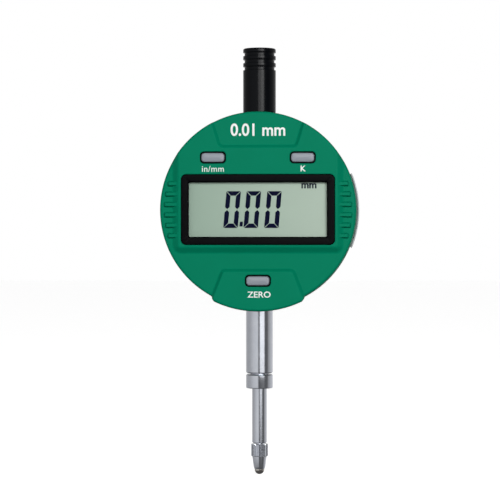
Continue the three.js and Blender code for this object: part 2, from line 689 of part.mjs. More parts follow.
function springPost() {
  const { radius, front, back, z } = SPRING_POST;
  return rodAlongY(radius, front, back, SPRING.x, z, SIDES.small);
}

function placeStem() {
  place(indicator, 'stem', stem(), 'steel');
  place(indicator, 'stem_end_bush', stemEndBush(), 'steel');
  place(indicator, 'wiper_seal', softRing(WIPER), 'rubber');
  place(indicator, 'lower_bush', bush(LOWER_BUSH), 'brass');
  place(indicator, 'cap_boss', capBoss(), 'steel');
  place(indicator, 'upper_bush', bush(UPPER_BUSH), 'brass');
  place(indicator, 'guide_rail', rodAlongZ(GUIDE.radius, GUIDE.bottom, GUIDE.top, GUIDE.x, GUIDE.y), 'steel');
  place(indicator, 'spring_post', springPost(), 'steel');
}

// ---------------------------------------------------------------- spindle

function spindle() {
  const rod = turnedAboutZ([
    [0, SPINDLE.bottom], [SPINDLE.radius, SPINDLE.bottom], [SPINDLE.radius, SPINDLE.top - 0.4],
    [SPINDLE.radius - 0.4, SPINDLE.top], [0, SPINDLE.top],
  ]);
  const holeRadius = POINT_SHANK.radius + GAP;
  return cut(rod, [rodAlongZ(holeRadius, SPINDLE.bottom - 1, POINT_SHANK.holeTop, 0, 0, SIDES.small)]);
}

// The screw-in contact point: shank, knurled ring, cone and a socket for the ball.
function contactPoint() {
  const ringTop = SPINDLE.bottom - GAP;
  const blank = turnedAboutZ([
    [0, POINT.bottom], [POINT.coneBottom, POINT.bottom], [POINT.coneTop, POINT.knurlBottom - 0.2],
    [POINT.knurlRadius, POINT.knurlBottom], [POINT.knurlRadius, ringTop], [POINT_SHANK.radius, ringTop],
    [POINT_SHANK.radius, POINT_SHANK.top], [0, POINT_SHANK.top],
  ]);
  const clearance = 0.15;
  const socket = new THREE.SphereGeometry(BALL.radius + clearance, 16, 10);
  socket.translate(0, 0, BALL.tip + BALL.radius);
  return cut(blank, [toSolid(socket)]);
}

function contactBall() {
  const ball = new THREE.SphereGeometry(BALL.radius, 16, 10).rotateX(Math.PI / 2);
  return toSolid(ball.translate(0, 0, BALL.tip + BALL.radius));
}

// The block clamped on the spindle. It carries the scale, and its arm runs on the guide rail.
function scaleCarrier() {
  const { half, front, back, bottom, top } = CARRIER;
  const body = block([-half, front, bottom], [half, back, top]);
  const arm = block([ARM.end, ARM.front, ARM.bottom], [-CARRIER.half + 0.5, ARM.back, ARM.top]);
  const setScrewZ = (CARRIER.bottom + CARRIER.top) / 2;
  return cut(body.add(arm), [
    rodAlongZ(SPINDLE.radius + GAP, CARRIER.bottom - 1, CARRIER.top + 1),
    rodAlongZ(GUIDE.radius + RUNNING + 0.02, ARM.bottom - 1, ARM.top + 1, GUIDE.x, GUIDE.y),
    rodAlongY(1.25, 1, CARRIER.back + 1, 0, setScrewZ, SIDES.small),
  ]);
}

function setScrew() {
  const tip = SPINDLE.radius + GAP;
  const socketFloor = CARRIER.back - 1;
  const body = rodAlongY(0.95, tip, CARRIER.back - 0.1, 0, 0, SIDES.small);
  return cut(body, [rodAlongY(0.5, socketFloor, CARRIER.back + 1, 0, 0, 6)]);
}

class Helix extends THREE.Curve {
  getPoint(t) {
    const angle = t * SPRING.turns * 2 * Math.PI;
    const coilRadius = SPRING.radius - SPRING.wire;
    const bottom = SPRING.bottom + SPRING.wire;
    const height = SPRING.top - SPRING.wire - bottom;
    return new THREE.Vector3(
      SPRING.x + coilRadius * Math.cos(angle), SPRING.y + coilRadius * Math.sin(angle), bottom + t * height,
    );
  }
}

// The tension spring that draws the carrier down towards its post.
function returnSpring() {
  const section = new THREE.Shape();
  section.absarc(0, 0, SPRING.wire, 0, 2 * Math.PI);
  const stepsPerTurn = 8;
  return toSolid(new THREE.ExtrudeGeometry(section, {
    steps: SPRING.turns * stepsPerTurn, extrudePath: new Helix(), curveSegments: 4,
  }));
}

function scaleStrip() {
  const back = STRIP.front + STRIP.thickness;
  return block([-STRIP.half, STRIP.front, STRIP.bottom], [STRIP.half, back, STRIP.top]);
}

function placeSpindle() {
  const carrierMiddle = (CARRIER.bottom + CARRIER.top) / 2;
  place(indicator, 'spindle', spindle(), 'steel');
  place(indicator, 'contact_point', contactPoint(), 'steel');
  place(indicator, 'contact_ball', contactBall(), 'carbide');
  place(indicator, 'scale_carrier', scaleCarrier(), 'aluminium');
  place(indicator, 'carrier_screw', setScrew(), 'steel', [0, 0, carrierMiddle]);
  place(indicator, 'scale_strip', scaleStrip(), 'board');
  place(indicator, 'stop_bumper', softRing(BUMPER), 'rubber');
  place(indicator, 'return_spring', returnSpring(), 'steel');
}

// ---------------------------------------------------------------- cap

// Half the cap's section: the bore with its wider mouth, then the outside with its finger grooves.
function capProfile() {
  const { radius, bore, bottom, top, roof, edge } = CAP;
  const mouthTop = bottom + CAP_RECESS.height;
  const profile = [
    [0, top - roof], [bore, top - roof], [bore, mouthTop], [CAP_RECESS.radius, mouthTop],
    [CAP_RECESS.radius, bottom], [radius, bottom],
  ];
  const floorRadius = radius - CAP_GROOVES.depth;
  for (let i = CAP_GROOVES.count - 1; i >= 0; i -= 1) {
    const grooveTop = top - CAP_GROOVES.first - i * CAP_GROOVES.pitch;
    const grooveBottom = grooveTop - CAP_GROOVES.width;
    profile.push([radius, grooveBottom], [floorRadius, grooveBottom]);
    profile.push([floorRadius, grooveTop], [radius, grooveTop]);
  }
  profile.push([radius, top - edge], [radius - edge, top], [0, top]);
  return profile;
}

function sealRing() {
  const ring = new THREE.TorusGeometry(SEAL.radius, SEAL.wire, 6, SIDES.medium);
  return toSolid(ring.translate(0, 0, SEAL.z));
}

function placeCap() {
  place(indicator, 'spindle_cap', turnedAboutZ(capProfile()), 'blackMetal');
  place(indicator, 'cap_seal_ring', sealRing(), 'rubber');
}

placeCasing();
placeDisplay();
placeButtons();
placeBattery();
placeStem();
placeSpindle();
placeCap();

export default indicator;
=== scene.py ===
"""A digital indicator with a 12.7 mm range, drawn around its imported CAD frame. Sizes in mm unless said."""
import json
import math

import bmesh
import bpy
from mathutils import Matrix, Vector
from mathutils.geometry import delaunay_2d_cdt


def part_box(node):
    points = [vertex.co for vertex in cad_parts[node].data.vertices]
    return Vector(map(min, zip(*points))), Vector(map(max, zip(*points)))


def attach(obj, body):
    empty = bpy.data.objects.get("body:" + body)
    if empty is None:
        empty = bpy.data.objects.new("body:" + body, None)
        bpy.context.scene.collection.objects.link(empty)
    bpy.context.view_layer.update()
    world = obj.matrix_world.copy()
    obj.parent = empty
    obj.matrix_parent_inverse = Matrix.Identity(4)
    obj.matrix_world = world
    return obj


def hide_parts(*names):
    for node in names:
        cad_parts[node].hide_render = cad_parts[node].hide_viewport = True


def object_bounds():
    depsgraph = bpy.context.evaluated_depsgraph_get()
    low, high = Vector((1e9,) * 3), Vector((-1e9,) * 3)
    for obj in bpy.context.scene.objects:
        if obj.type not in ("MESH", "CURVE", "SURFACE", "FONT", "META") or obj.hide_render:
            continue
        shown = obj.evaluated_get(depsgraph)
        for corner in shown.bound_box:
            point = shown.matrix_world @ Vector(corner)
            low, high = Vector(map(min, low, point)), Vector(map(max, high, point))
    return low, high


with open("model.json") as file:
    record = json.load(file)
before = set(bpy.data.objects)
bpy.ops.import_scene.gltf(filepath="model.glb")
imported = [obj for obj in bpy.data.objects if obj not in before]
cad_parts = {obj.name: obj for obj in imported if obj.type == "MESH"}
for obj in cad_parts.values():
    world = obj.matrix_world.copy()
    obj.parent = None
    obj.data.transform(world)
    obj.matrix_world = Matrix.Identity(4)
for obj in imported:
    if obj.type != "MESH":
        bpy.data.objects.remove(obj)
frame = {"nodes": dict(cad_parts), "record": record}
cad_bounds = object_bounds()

MM = 0.001


def box_mm(node):
    """A CAD node's lowest and highest corners in mm."""
    low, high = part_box(node)
    return Vector(low) / MM, Vector(high) / MM


def axis_spot(node):
    """The point at y = 0 on the axis of a CAD node that points along y."""
    low, high = box_mm(node)
    return ((low.x + high.x) / 2, 0, (low.z + high.z) / 2)


# ---------------------------------------------------------------- sizes from the frame

CASE_LOW, CASE_HIGH = box_mm("rear_case")
COVER_LOW, COVER_HIGH = box_mm("front_cover")
HEAD_Z = (CASE_LOW.z + CASE_HIGH.z) / 2
HEAD_CENTRE = (0, 0, HEAD_Z)
CASE_RADIUS = (CASE_HIGH.x - CASE_LOW.x) / 2
RIM_RADIUS = COVER_HIGH.x
WALL = 2.0
CASE_FLOOR = 2.4
KEYS = ("unit", "k", "zero")

PLATFORM_RISE = 1.5
PLATFORM_Y = COVER_LOW.y
RING_Y = PLATFORM_Y + PLATFORM_RISE
FACE_RADIUS = 28.75
BULGE_RISE = HEAD_Z - COVER_LOW.z - FACE_RADIUS
EDGE_FILLET = 0.8

# ---------------------------------------------------------------- mesh tools


def smoothed(mesh, angle):
    """Shades a mesh smooth, apart from its edges sharper than an angle in degrees."""
    mesh.polygons.foreach_set("use_smooth", [True] * len(mesh.polygons))
    mesh.set_sharp_from_angle(angle=math.radians(angle))


def finish_mesh(name, bm, smooth_angle=35.0):
    """Turns a bmesh in mm into an object in metres, smooth except at its hard edges."""
    bmesh.ops.remove_doubles(bm, verts=bm.verts, dist=1e-5)
    bmesh.ops.recalc_face_normals(bm, faces=bm.faces)
    bmesh.ops.scale(bm, vec=(MM, MM, MM), verts=bm.verts)
    mesh = bpy.data.meshes.new(name)
    bm.to_mesh(mesh)
    bm.free()
    smoothed(mesh, smooth_angle)
    piece = bpy.data.objects.new(name, mesh)
    bpy.context.scene.collection.objects.link(piece)
    return piece


def applied(piece):
    """Replaces an object's mesh with its evaluated one and drops its modifiers."""
    graph = bpy.context.evaluated_depsgraph_get()
    mesh = bpy.data.meshes.new_from_object(piece.evaluated_get(graph))
    piece.modifiers.clear()
    piece.data = mesh
    return piece


def weighted_normals(piece):
    """Keeps flat faces flat where they meet a fillet."""
    modifier = piece.modifiers.new("normals", "WEIGHTED_NORMAL")
    modifier.keep_sharp = True
    modifier.weight = 60
    return applied(piece)


def fillet_profile(corners, steps=5):
    """Profile points from (radius, height, fillet) corners. A fillet of 0 keeps the corner sharp."""
    points = []
    count = len(corners)
    for i, (radius, height, fillet) in enumerate(corners):
        corner = Vector((radius, height))
        if fillet == 0:
            points.append(corner)
            continue
        before = Vector(corners[i - 1][:2]) - corner
        after = Vector(corners[(i + 1) % count][:2]) - corner
        half_angle = before.angle(after) / 2
        reach = fillet / math.tan(half_angle)
        start = corner + before.normalized() * reach
        end = corner + after.normalized() * reach
        bisector = (before.normalized() + after.normalized()).normalized()
        centre = corner + bisector * (fillet / math.sin(half_angle))
        for k in range(steps + 1):
            middle = start.lerp(end, k / steps) - centre
            points.append(centre + middle.normalized() * fillet)
    return [(p.x, p.y) for p in points]


AXES = {
    "x": lambda r, h, a: (h, r * math.cos(a), r * math.sin(a)),
    "y": lambda r, h, a: (r * math.cos(a), h, r * math.sin(a)),
    "z": lambda r, h, a: (r * math.cos(a), r * math.sin(a), h),
}


def turned(name, profile, axis="z", centre=(0, 0, 0), segments=96, smooth_angle=35.0, shaped=None):
    """A closed profile of (radius, height) points turned about an axis. Radius 0 closes on the axis.

    shaped(radius, height, step) may change the radius at each step round the axis.
    """
    shape = shaped or (lambda radius, height, step: radius)
    bm = bmesh.new()
    rings = []
    for radius, height in profile:
        if radius < 1e-6:
            rings.append([bm.verts.new(AXES[axis](0, height, 0))] * segments)
        else:
            angles = [2 * math.pi * k / segments for k in range(segments)]
            ring = [AXES[axis](shape(radius, height, k), height, angle) for k, angle in enumerate(angles)]
            rings.append([bm.verts.new(spot) for spot in ring])
    for lower, upper in zip(rings, rings[1:] + rings[:1]):
        for k in range(segments):
            n = (k + 1) % segments
            corners = list(dict.fromkeys([lower[k], lower[n], upper[n], upper[k]]))
            if len(corners) > 2:
                bm.faces.new(corners)
    bmesh.ops.translate(bm, vec=centre, verts=bm.verts)
    return finish_mesh(name, bm, smooth_angle)


def rounded_polygon(corners, radius, steps=5):
    """The outline of a sharp core polygon (anticlockwise) grown outwards by a radius."""
    points = []
    count = len(corners)
    for i in range(count):
        corner = Vector(corners[i])
        into = (corner - Vector(corners[i - 1])).normalized()
        out = (Vector(corners[(i + 1) % count]) - corner).normalized()
        start = math.atan2(-into.x, into.y)
        turn = into.angle_signed(out)
        for k in range(steps + 1):
            angle = start - turn * k / steps
            points.append(corner + Vector((math.cos(angle), math.sin(angle))) * radius)
    return points


def rectangle_core(width, height, corner, x=0.0, z=0.0):
    """The core of a rounded rectangle: its corners moved in by the corner radius."""
    a = width / 2 - corner
    b = height / 2 - corner
    return [(x - a, z - b), (x + a, z - b), (x + a, z + b), (x - a, z + b)]


def depth_inside(point, core, radius):
    """How far a point lies inside the outline that grows from a convex core by a radius."""
    nearest = math.inf
    inside = True
    for i, corner in enumerate(core):
        a = Vector(corner)
        b = Vector(core[(i + 1) % len(core)])
        along = b - a
        t = min(max((point - a).dot(along) / along.length_squared, 0), 1)
        nearest = min(nearest, (point - (a + along * t)).length)
        inside = inside and along.x * (point.y - a.y) - along.y * (point.x - a.x) > 0
    return radius + nearest if inside else radius - nearest


def ease(t, fillet=0.28):
    """A slope from 0 to 1 with a rounded foot and a rounded crest."""
    t = min(max(t, 0), 1)
    slope = 1 / (1 - fillet)
    if t < fillet:
        return slope * t * t / (2 * fillet)
    if t > 1 - fillet:
        return 1 - slope * (1 - t) ** 2 / (2 * fillet)
    return slope * (t - fillet / 2)


def box_ring(bm, width, height, corner, y, x=0.0, z=0.0, steps=6):
    """The vertices of a rounded rectangle in the plane at y, centred on (x, z) from the head's centre."""
    core = rectangle_core(width, height, corner, x, z)
    return [bm.verts.new((p.x, y, p.y + HEAD_Z)) for p in rounded_polygon(core, corner, steps)]


def lofted(name, sections, x=0.0, z=0.0, closed=False, smooth_angle=35.0):
    """Rounded rectangles joined in order. Each section is (width, height, corner, y)."""
    bm = bmesh.new()
    rings = [box_ring(bm, *section, x, z) for section in sections]
    pairs = list(zip(rings, rings[1:]))
    if closed:
        pairs.append((rings[-1], rings[0]))
    for first, second in pairs:
        for k in range(len(first)):
            n = (k + 1) % len(first)
            bm.faces.new((first[k], first[n], second[n], second[k]))
    if not closed:
        bm.faces.new(rings[0])
        bm.faces.new(rings[-1])
    return finish_mesh(name, bm, smooth_angle)


def prism(name, outline, low, high, axis="y", smooth_angle=35.0):
    """An outline extruded between two planes. Outline points are (x, z) along y, or (y, z) along x."""
    bm = bmesh.new()
    rings = []
    for level in (low, high):
        spots = [(a, level, b) if axis == "y" else (level, a, b) for a, b in outline]
        rings.append([bm.verts.new((x, y, z + HEAD_Z)) for x, y, z in spots])
    for k in range(len(outline)):
        n = (k + 1) % len(outline)
        bm.faces.new((rings[0][k], rings[0][n], rings[1][n], rings[1][k]))
    bm.faces.new(rings[0])
    bm.faces.new(rings[1])
    return finish_mesh(name, bm, smooth_angle)


def bevelled(piece, width, segments=3, angle=40.0, smooth_angle=50.0):
    """Rounds every edge sharper than the angle."""
    modifier = piece.modifiers.new("bevel", "BEVEL")
    modifier.width = width * MM
    modifier.segments = segments
    modifier.limit_method = "ANGLE"
    modifier.angle_limit = math.radians(angle)
    applied(piece)
    smoothed(piece.data, smooth_angle)
    return weighted_normals(piece)


def cylinder(name, radius, low, high, axis, centre=(0, 0, 0), segments=64):
    """A plain round cutter."""
    return turned(name, [(0, low), (radius, low), (radius, high), (0, high)], axis, centre, segments)


# ---------------------------------------------------------------- front cover

PLATFORM = {
    "core": rectangle_core(50.6, 60, 2.6, 0, 17),
    "radius": 2.6, "slope": 2.4, "rise": PLATFORM_RISE,
}
ZERO_PAD = {
    "core": [(-13.0, -28.5), (13.0, -28.5), (9.4, -19.1), (-9.4, -19.1)],
    "radius": 2.0, "slope": 1.2, "rise": 1.1,
}
LOGO_PANEL = {
    "core": [(-10.2, 19.8), (10.2, 19.8), (13.1, 29.5), (-13.1, 29.5)],
    "radius": 1.9, "slope": 1.2, "rise": -1.0,
}
SLOPE_STEPS = (0, 0.1, 0.2, 0.3, 0.5, 0.7, 0.8, 0.9, 1)
RIB = {
    "rows": 6, "pitch": 3.04, "height": 1.7, "inner": 21.5, "reach": 27.6,
    "rise": 1.0, "slope": 0.45, "corner": 0.45,
}
OPENING_FILLET = 0.25
# How much smaller the display frame and the key surrounds look than their CAD boxes.
FRAME_TRIM = 0.25
COLLAR_TRIM = 0.45
BULGE_HALF_ANGLE = math.radians(28.9)
BULGE_SHOULDER = math.radians(3.2)


def bulge_share(angle):
    """1 along the bottom bulge, 0 elsewhere, with a rounded shoulder. The angle is from straight down."""
    return ease((BULGE_HALF_ANGLE - abs(angle)) / BULGE_SHOULDER, 0.4)


def face_radius(angle):
    return FACE_RADIUS + BULGE_RISE * bulge_share(angle)


def down_angle(point):
    return math.atan2(point.x, -point.y)


def rib_outlines():
    """The finger ribs at both sides, as cores that end along the round edge."""
    ribs = []
    for row in range(RIB["rows"]):
        z = (row - (RIB["rows"] - 1) / 2) * RIB["pitch"]
        half = RIB["height"] / 2 - RIB["corner"]
        reach = math.sqrt(RIB["reach"] ** 2 - z * z) - RIB["corner"]
        for side in (-1, 1):
            left, right = sorted((side * RIB["inner"], side * reach))
            core = [(left, z - half), (right, z - half), (right, z + half), (left, z + half)]
            ribs.append({"core": core, "radius": RIB["corner"], "slope": RIB["slope"], "rise": RIB["rise"]})
    return ribs


def opening_sizes():
    """Centre, size and corner radius of the display and key openings."""
    frame_low, frame_high = box_mm("display_frame")
    width = frame_high.x - frame_low.x - FRAME_TRIM
    height = frame_high.z - frame_low.z - FRAME_TRIM
    openings = [(0, 0, width + 0.1, height + 0.1, 1.55)]
    for key in KEYS:
        low, high = box_mm(f"button_collar_{key}")
        middle = (low + high) / 2
        width, height = high.x - low.x - COLLAR_TRIM, high.z - low.z - COLLAR_TRIM
        openings.append((middle.x, middle.z - HEAD_Z, width + 0.08, height + 0.08, 1.14))
    return openings


RIBS = rib_outlines()
OPENINGS = opening_sizes()


def raised(point, feature):
    depth = depth_inside(point, feature["core"], feature["radius"])
    return feature["rise"] * ease(depth / feature["slope"])


def edge_drop(distance, fillet):
    """How far a rounded edge falls away at a distance from it."""
    if distance >= fillet:
        return 0
    return fillet - math.sqrt(fillet ** 2 - (fillet - max(distance, 0)) ** 2)


def cover_height(point):
    """Height of the cover's face above its outer ring."""
    height = max([raised(point, PLATFORM), raised(point, ZERO_PAD)] + [raised(point, rib) for rib in RIBS])
    height += raised(point, LOGO_PANEL)
    height -= edge_drop(face_radius(down_angle(point)) - point.length, EDGE_FILLET)
    for x, z, width, depth, corner in OPENINGS:
        core = rectangle_core(width, depth, corner, x, z)
        height -= edge_drop(-depth_inside(point, core, corner), OPENING_FILLET)
    return height


def face_ring(inset, count=240):
    """A closed contour that follows the cover's edge at an inset."""
    angles = [2 * math.pi * k / count for k in range(count)]
    return [Vector((math.sin(a), -math.cos(a))) * (face_radius(wrapped(a)) - inset) for a in angles]


def wrapped(angle):
    return math.atan2(math.sin(angle), math.cos(angle))


def feature_contours(feature, steps):
    contours = []
    for step in steps:
        reach = feature["radius"] - step * feature["slope"]
        contours.append(rounded_polygon(feature["core"], reach, 6))
    return contours


def planar_faces(contours, keep):
    """Triangles of the plane that follow every contour, where keep(point) is true."""
    points = []
    edges = []
    for contour in contours:
        start = len(points)
        points += contour
        edges += [(start + k, start + (k + 1) % len(contour)) for k in range(len(contour))]
    spots, _, triangles, *_ = delaunay_2d_cdt(points, edges, [], 0, 1e-4)
    kept = [t for t in triangles if keep((spots[t[0]] + spots[t[1]] + spots[t[2]]) / 3)]
    return spots, kept


def in_opening(point):
    return any(
        depth_inside(point, rectangle_core(width, depth, corner, x, z), corner) > 0
        for x, z, width, depth, corner in OPENINGS
    )


def opening_contours(grow=0.0):
    return [
        rounded_polygon(rectangle_core(width, depth, corner, x, z), corner + grow, 6)
        for x, z, width, depth, corner in OPENINGS
    ]


def cover_face_contours():
    """Every line that the face's triangles follow: round edge, slopes, ribs and openings."""
    insets = [EDGE_FILLET * (1 - math.sin(math.radians(angle))) for angle in (90, 62, 40, 20, 0)]
    contours = [face_ring(inset) for inset in insets]
    for feature in (PLATFORM, ZERO_PAD, LOGO_PANEL):
        contours += feature_contours(feature, SLOPE_STEPS)
    for rib in RIBS:
        contours += feature_contours(rib, (0, 0.25, 0.5, 0.75, 1))
    for grow in (0, 0.03, 0.1, OPENING_FILLET):
        contours += opening_contours(grow)
    return contours


def add_sheet(bm, spots, triangles, level):
    """Adds planar triangles to the mesh at the y that level(point) gives."""
    verts = {}
    for i in sorted({i for triangle in triangles for i in triangle}):
        verts[i] = bm.verts.new((spots[i].x, level(spots[i]), spots[i].y))
    for triangle in triangles:
        bm.faces.new([verts[i] for i in triangle])
    return list(verts.values())


def rim_edges(bm, inner, outer, y_range):
    """Open edges whose ends lie between two radii and two y levels."""
    def fits(vert):
        return inner < math.hypot(vert.co.x, vert.co.z) < outer and y_range[0] < vert.co.y < y_range[1]
    return [e for e in bm.edges if e.is_boundary and fits(e.verts[0]) and fits(e.verts[1])]


def extruded_rim(bm, edges, place):
    """Extrudes open edges and moves each new vertex to place(vertex)."""
    result = bmesh.ops.extrude_edge_only(bm, edges=edges)["geom"]
    verts = [item for item in result if isinstance(item, bmesh.types.BMVert)]
    for vert in verts:
        vert.co = place(vert.co)
    return [item for item in result if isinstance(item, bmesh.types.BMEdge)]


def around(co, radius, y):
    """The point at a radius and y in the direction of co from the head's axis."""
    flat = math.hypot(co.x, co.z)
    return Vector((co.x * radius / flat, y, co.z * radius / flat))


def cover_outer_walls(bm):
    """The side wall, wider towards the back, its chamfered rim, and the inner wall up to the ceiling."""
    back = COVER_HIGH.y
    inside = RIM_RADIUS - WALL
    flare_y = RING_Y + 1.6
    flare = (RIM_RADIUS - FACE_RADIUS) * (flare_y - RING_Y) / (back - RING_Y)

    def flared(co):
        share = 1 - bulge_share(math.atan2(co.x, -co.z))
        return around(co, math.hypot(co.x, co.z) + flare * share, flare_y)

    rim = rim_edges(bm, FACE_RADIUS - 0.2, FACE_RADIUS + 3, (-20, RING_Y + EDGE_FILLET + 1))
    rim = extruded_rim(bm, rim, flared)
    rim = extruded_rim(bm, rim, lambda co: around(co, max(math.hypot(co.x, co.z), RIM_RADIUS), back - 0.35))
    rim = extruded_rim(bm, rim, lambda co: around(co, math.hypot(co.x, co.z) - 0.3, back))
    rim = extruded_rim(bm, rim, lambda co: around(co, inside, back))
    return extruded_rim(bm, rim, lambda co: around(co, inside, RING_Y + WALL))


def front_cover():
    """The moulded cover: one closed shell with its platform, pads, ribs, openings and thickness."""
    def on_face(point):
        return point.length < face_radius(down_angle(point)) + 1e-3 and not in_opening(point)

    bm = bmesh.new()
    spots, triangles = planar_faces(cover_face_contours(), on_face)
    add_sheet(bm, spots, triangles, lambda p: RING_Y - cover_height(p))
    inner_rim = cover_outer_walls(bm)
    loop = [v.co for v in ordered_loop(inner_rim)]
    circle = [Vector((co.x, co.z)) for co in loop]
    ceiling = RING_Y + WALL
    spots, triangles = planar_faces([circle] + opening_contours(), lambda p: not in_opening(p))
    add_sheet(bm, spots, triangles, lambda p: ceiling)
    hole_edges = [e for e in bm.edges if e.is_boundary and max(v.co.y for v in e.verts) < ceiling - 0.1]
    extruded_rim(bm, hole_edges, lambda co: Vector((co.x, ceiling, co.z)))
    bmesh.ops.remove_doubles(bm, verts=bm.verts, dist=1e-3)
    bmesh.ops.translate(bm, vec=HEAD_CENTRE, verts=bm.verts)
    cover = finish_mesh("front_cover_shell", bm, 32)
    return weighted_normals(combined(cover, line_cutters(), "DIFFERENCE", 32))


def ordered_loop(edges):
    """The vertices of one closed edge loop, in order."""
    links = {}
    for edge in edges:
        a, b = edge.verts
        links.setdefault(a, []).append(b)
        links.setdefault(b, []).append(a)
    first = edges[0].verts[0]
    loop = [first]
    previous, current = first, links[first][0]
    while current is not first:
        loop.append(current)
        forward = [v for v in links[current] if v is not previous]
        previous, current = current, forward[0]
    return loop


# ---------------------------------------------------------------- more mesh tools


def combined(piece, others, operation, smooth_angle=35.0):
    """Joins the others to the piece, or cuts them out of it, as one closed mesh."""
    for other in others:
        modifier = piece.modifiers.new("combine", "BOOLEAN")
        modifier.operation = operation
        modifier.solver = "EXACT"
        modifier.object = other
    bpy.context.view_layer.update()
    applied(piece)
    for other in others:
        bpy.data.objects.remove(other)
    smoothed(piece.data, smooth_angle)
    return piece


def flats_merged(piece):
    """Makes one face of each flat region, so that it shades evenly."""
    bm = bmesh.new()
    bm.from_mesh(piece.data)
    bmesh.ops.dissolve_limit(bm, angle_limit=math.radians(0.05), verts=bm.verts, edges=bm.edges)
    bm.to_mesh(piece.data)
    bm.free()
    smoothed(piece.data, 35)
    return piece


def gathered(name, pieces):
    """Several separate bodies as one object."""
    bm = bmesh.new()
    for piece in pieces:
        bm.from_mesh(piece.data)
        bpy.data.objects.remove(piece)
    bmesh.ops.scale(bm, vec=(1 / MM, 1 / MM, 1 / MM), verts=bm.verts)
    return finish_mesh(name, bm)


def block(name, low, high):
    """A box between two corners, for cutting or for rounding."""
    bm = bmesh.new()
    bmesh.ops.create_cube(bm, size=1)
    size = Vector(high) - Vector(low)
    bmesh.ops.scale(bm, vec=size, verts=bm.verts)
    bmesh.ops.translate(bm, vec=(Vector(low) + Vector(high)) / 2, verts=bm.verts)
    return finish_mesh(name, bm)


def tube(name, inner, outer, low, high, axis, centre, segments=48):
    profile = [(inner, low), (outer, low), (outer, high), (inner, high)]
    return turned(name, profile, axis, centre, segments)


def placed(piece, body, slot, *nodes):
    """Rides the piece on its body, gives it its finish, and lets it stand for CAD nodes."""
    piece.data.materials.clear()
    piece.data.materials.append(FINISHES[slot])
    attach(piece, body)
    if nodes:
        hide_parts(*nodes)
    return piece


# ---------------------------------------------------------------- casing


def cover_posts():
    """The screw posts that stand behind the cover's face."""
    ceiling = RING_Y + WALL
    board = box_mm("main_board")[0].y - 0.3
    posts = [
        tube("post", 1.2, 2.0, ceiling, COVER_HIGH.y, "y", axis_spot(f"cover_screw_{k + 1}"))
        for k in range(4)
    ]
    posts += [
        tube("board_post", 1.1, 2.0, ceiling, board, "y", axis_spot(f"board_screw_{k + 1}"))
        for k in range(3)
    ]
    return gathered("cover_posts", posts)


def line_cutters():
    """Round openings for the stem below and the cap boss above."""
    stem_low, stem_high = box_mm("stem")
    stem_radius = (stem_high.x - stem_low.x) / 2 + 0.15
    return [
        cylinder("stem_cut", stem_radius, HEAD_Z - 33, HEAD_Z - 20, "z"),
        cylinder("boss_cut", 3.75, HEAD_Z + 20, HEAD_Z + 33, "z"),
    ]


def rear_case():
    """The shallow round cup behind the cover, with the battery tray's slot in its side."""
    back = CASE_HIGH.y
    front = CASE_LOW.y
    inside = CASE_RADIUS - WALL
    profile = fillet_profile([
        (0, back, 0), (CASE_RADIUS, back, 0.9), (CASE_RADIUS, front, 0.2),
        (inside, front, 0.2), (inside, back - CASE_FLOOR, 0.6), (0, back - CASE_FLOOR, 0),
    ])
    case = turned("rear_case_shell", profile, "y", HEAD_CENTRE, 240)
    cutters = [block("slot", (20, 0.5, HEAD_Z - 11.4), (32, 5, HEAD_Z + 11.4))] + line_cutters()
    for k in range(4):
        cover_screw = axis_spot(f"cover_screw_{k + 1}")
        cutters.append(cylinder("hole", 1.2, 4, 9, "y", cover_screw, 24))
        cutters.append(cylinder("head", 2.1, 6.2, 9, "y", cover_screw, 32))
        cutters.append(cylinder("hole", 1.25, 4, 9, "y", axis_spot(f"back_screw_{k + 1}"), 24))
    return weighted_normals(combined(case, cutters, "DIFFERENCE"))


def guide_ears():
    """Two ears inside the case that hold the guide rail."""
    rail_low, rail_high = box_mm("guide_rail")
    middle = (rail_low + rail_high) / 2
    ears = []
    for level in (rail_low.z + 0.7, rail_high.z - 0.7):
        low = (middle.x - 2, CASE_LOW.y + 0.2, level - 1.5)
        high = (middle.x + 2, CASE_HIGH.y - CASE_FLOOR, level + 1.5)
        ear = bevelled(block("ear", low, high), 0.3)
        hole = cylinder("rail_hole", 1.3, rail_low.z, rail_high.z, "z", (middle.x, middle.y, 0), 24)
        ears.append(combined(ear, [hole], "DIFFERENCE"))
    return gathered("guide_ears", ears)


LUG = {"plate": 2.2, "thickness": 5.0, "radius": 6.2, "bore": 3.25, "mouth": 3.85}


def lug(plate_back, hole_y):
    """The lug itself, with a round end about its cross hole. Its foot goes into the plate."""
    radius = LUG["radius"]
    arc = [math.radians(-90 + 180 * k / 32) for k in range(33)]
    outline = [(plate_back - 0.5, -radius)]
    outline += [(hole_y + radius * math.cos(a), radius * math.sin(a)) for a in arc]
    outline.append((plate_back - 0.5, radius))
    half = LUG["thickness"] / 2
    return bevelled(prism("lug", outline, -half, half, "x"), 0.35)


def bolt_hole(hole_y):
    """A cutter for the lug's cross hole, countersunk at both ends."""
    bore, mouth, half = LUG["bore"], LUG["mouth"], LUG["thickness"] / 2
    edge = half - (mouth - bore)
    upper = [(bore, edge), (mouth, half), (mouth + 1.15, half + 1.5), (0, half + 1.5)]
    lower = [(radius, -height) for radius, height in reversed(upper)]
    return turned("bolt_hole", lower + upper, "x", (0, hole_y, HEAD_Z), 64)


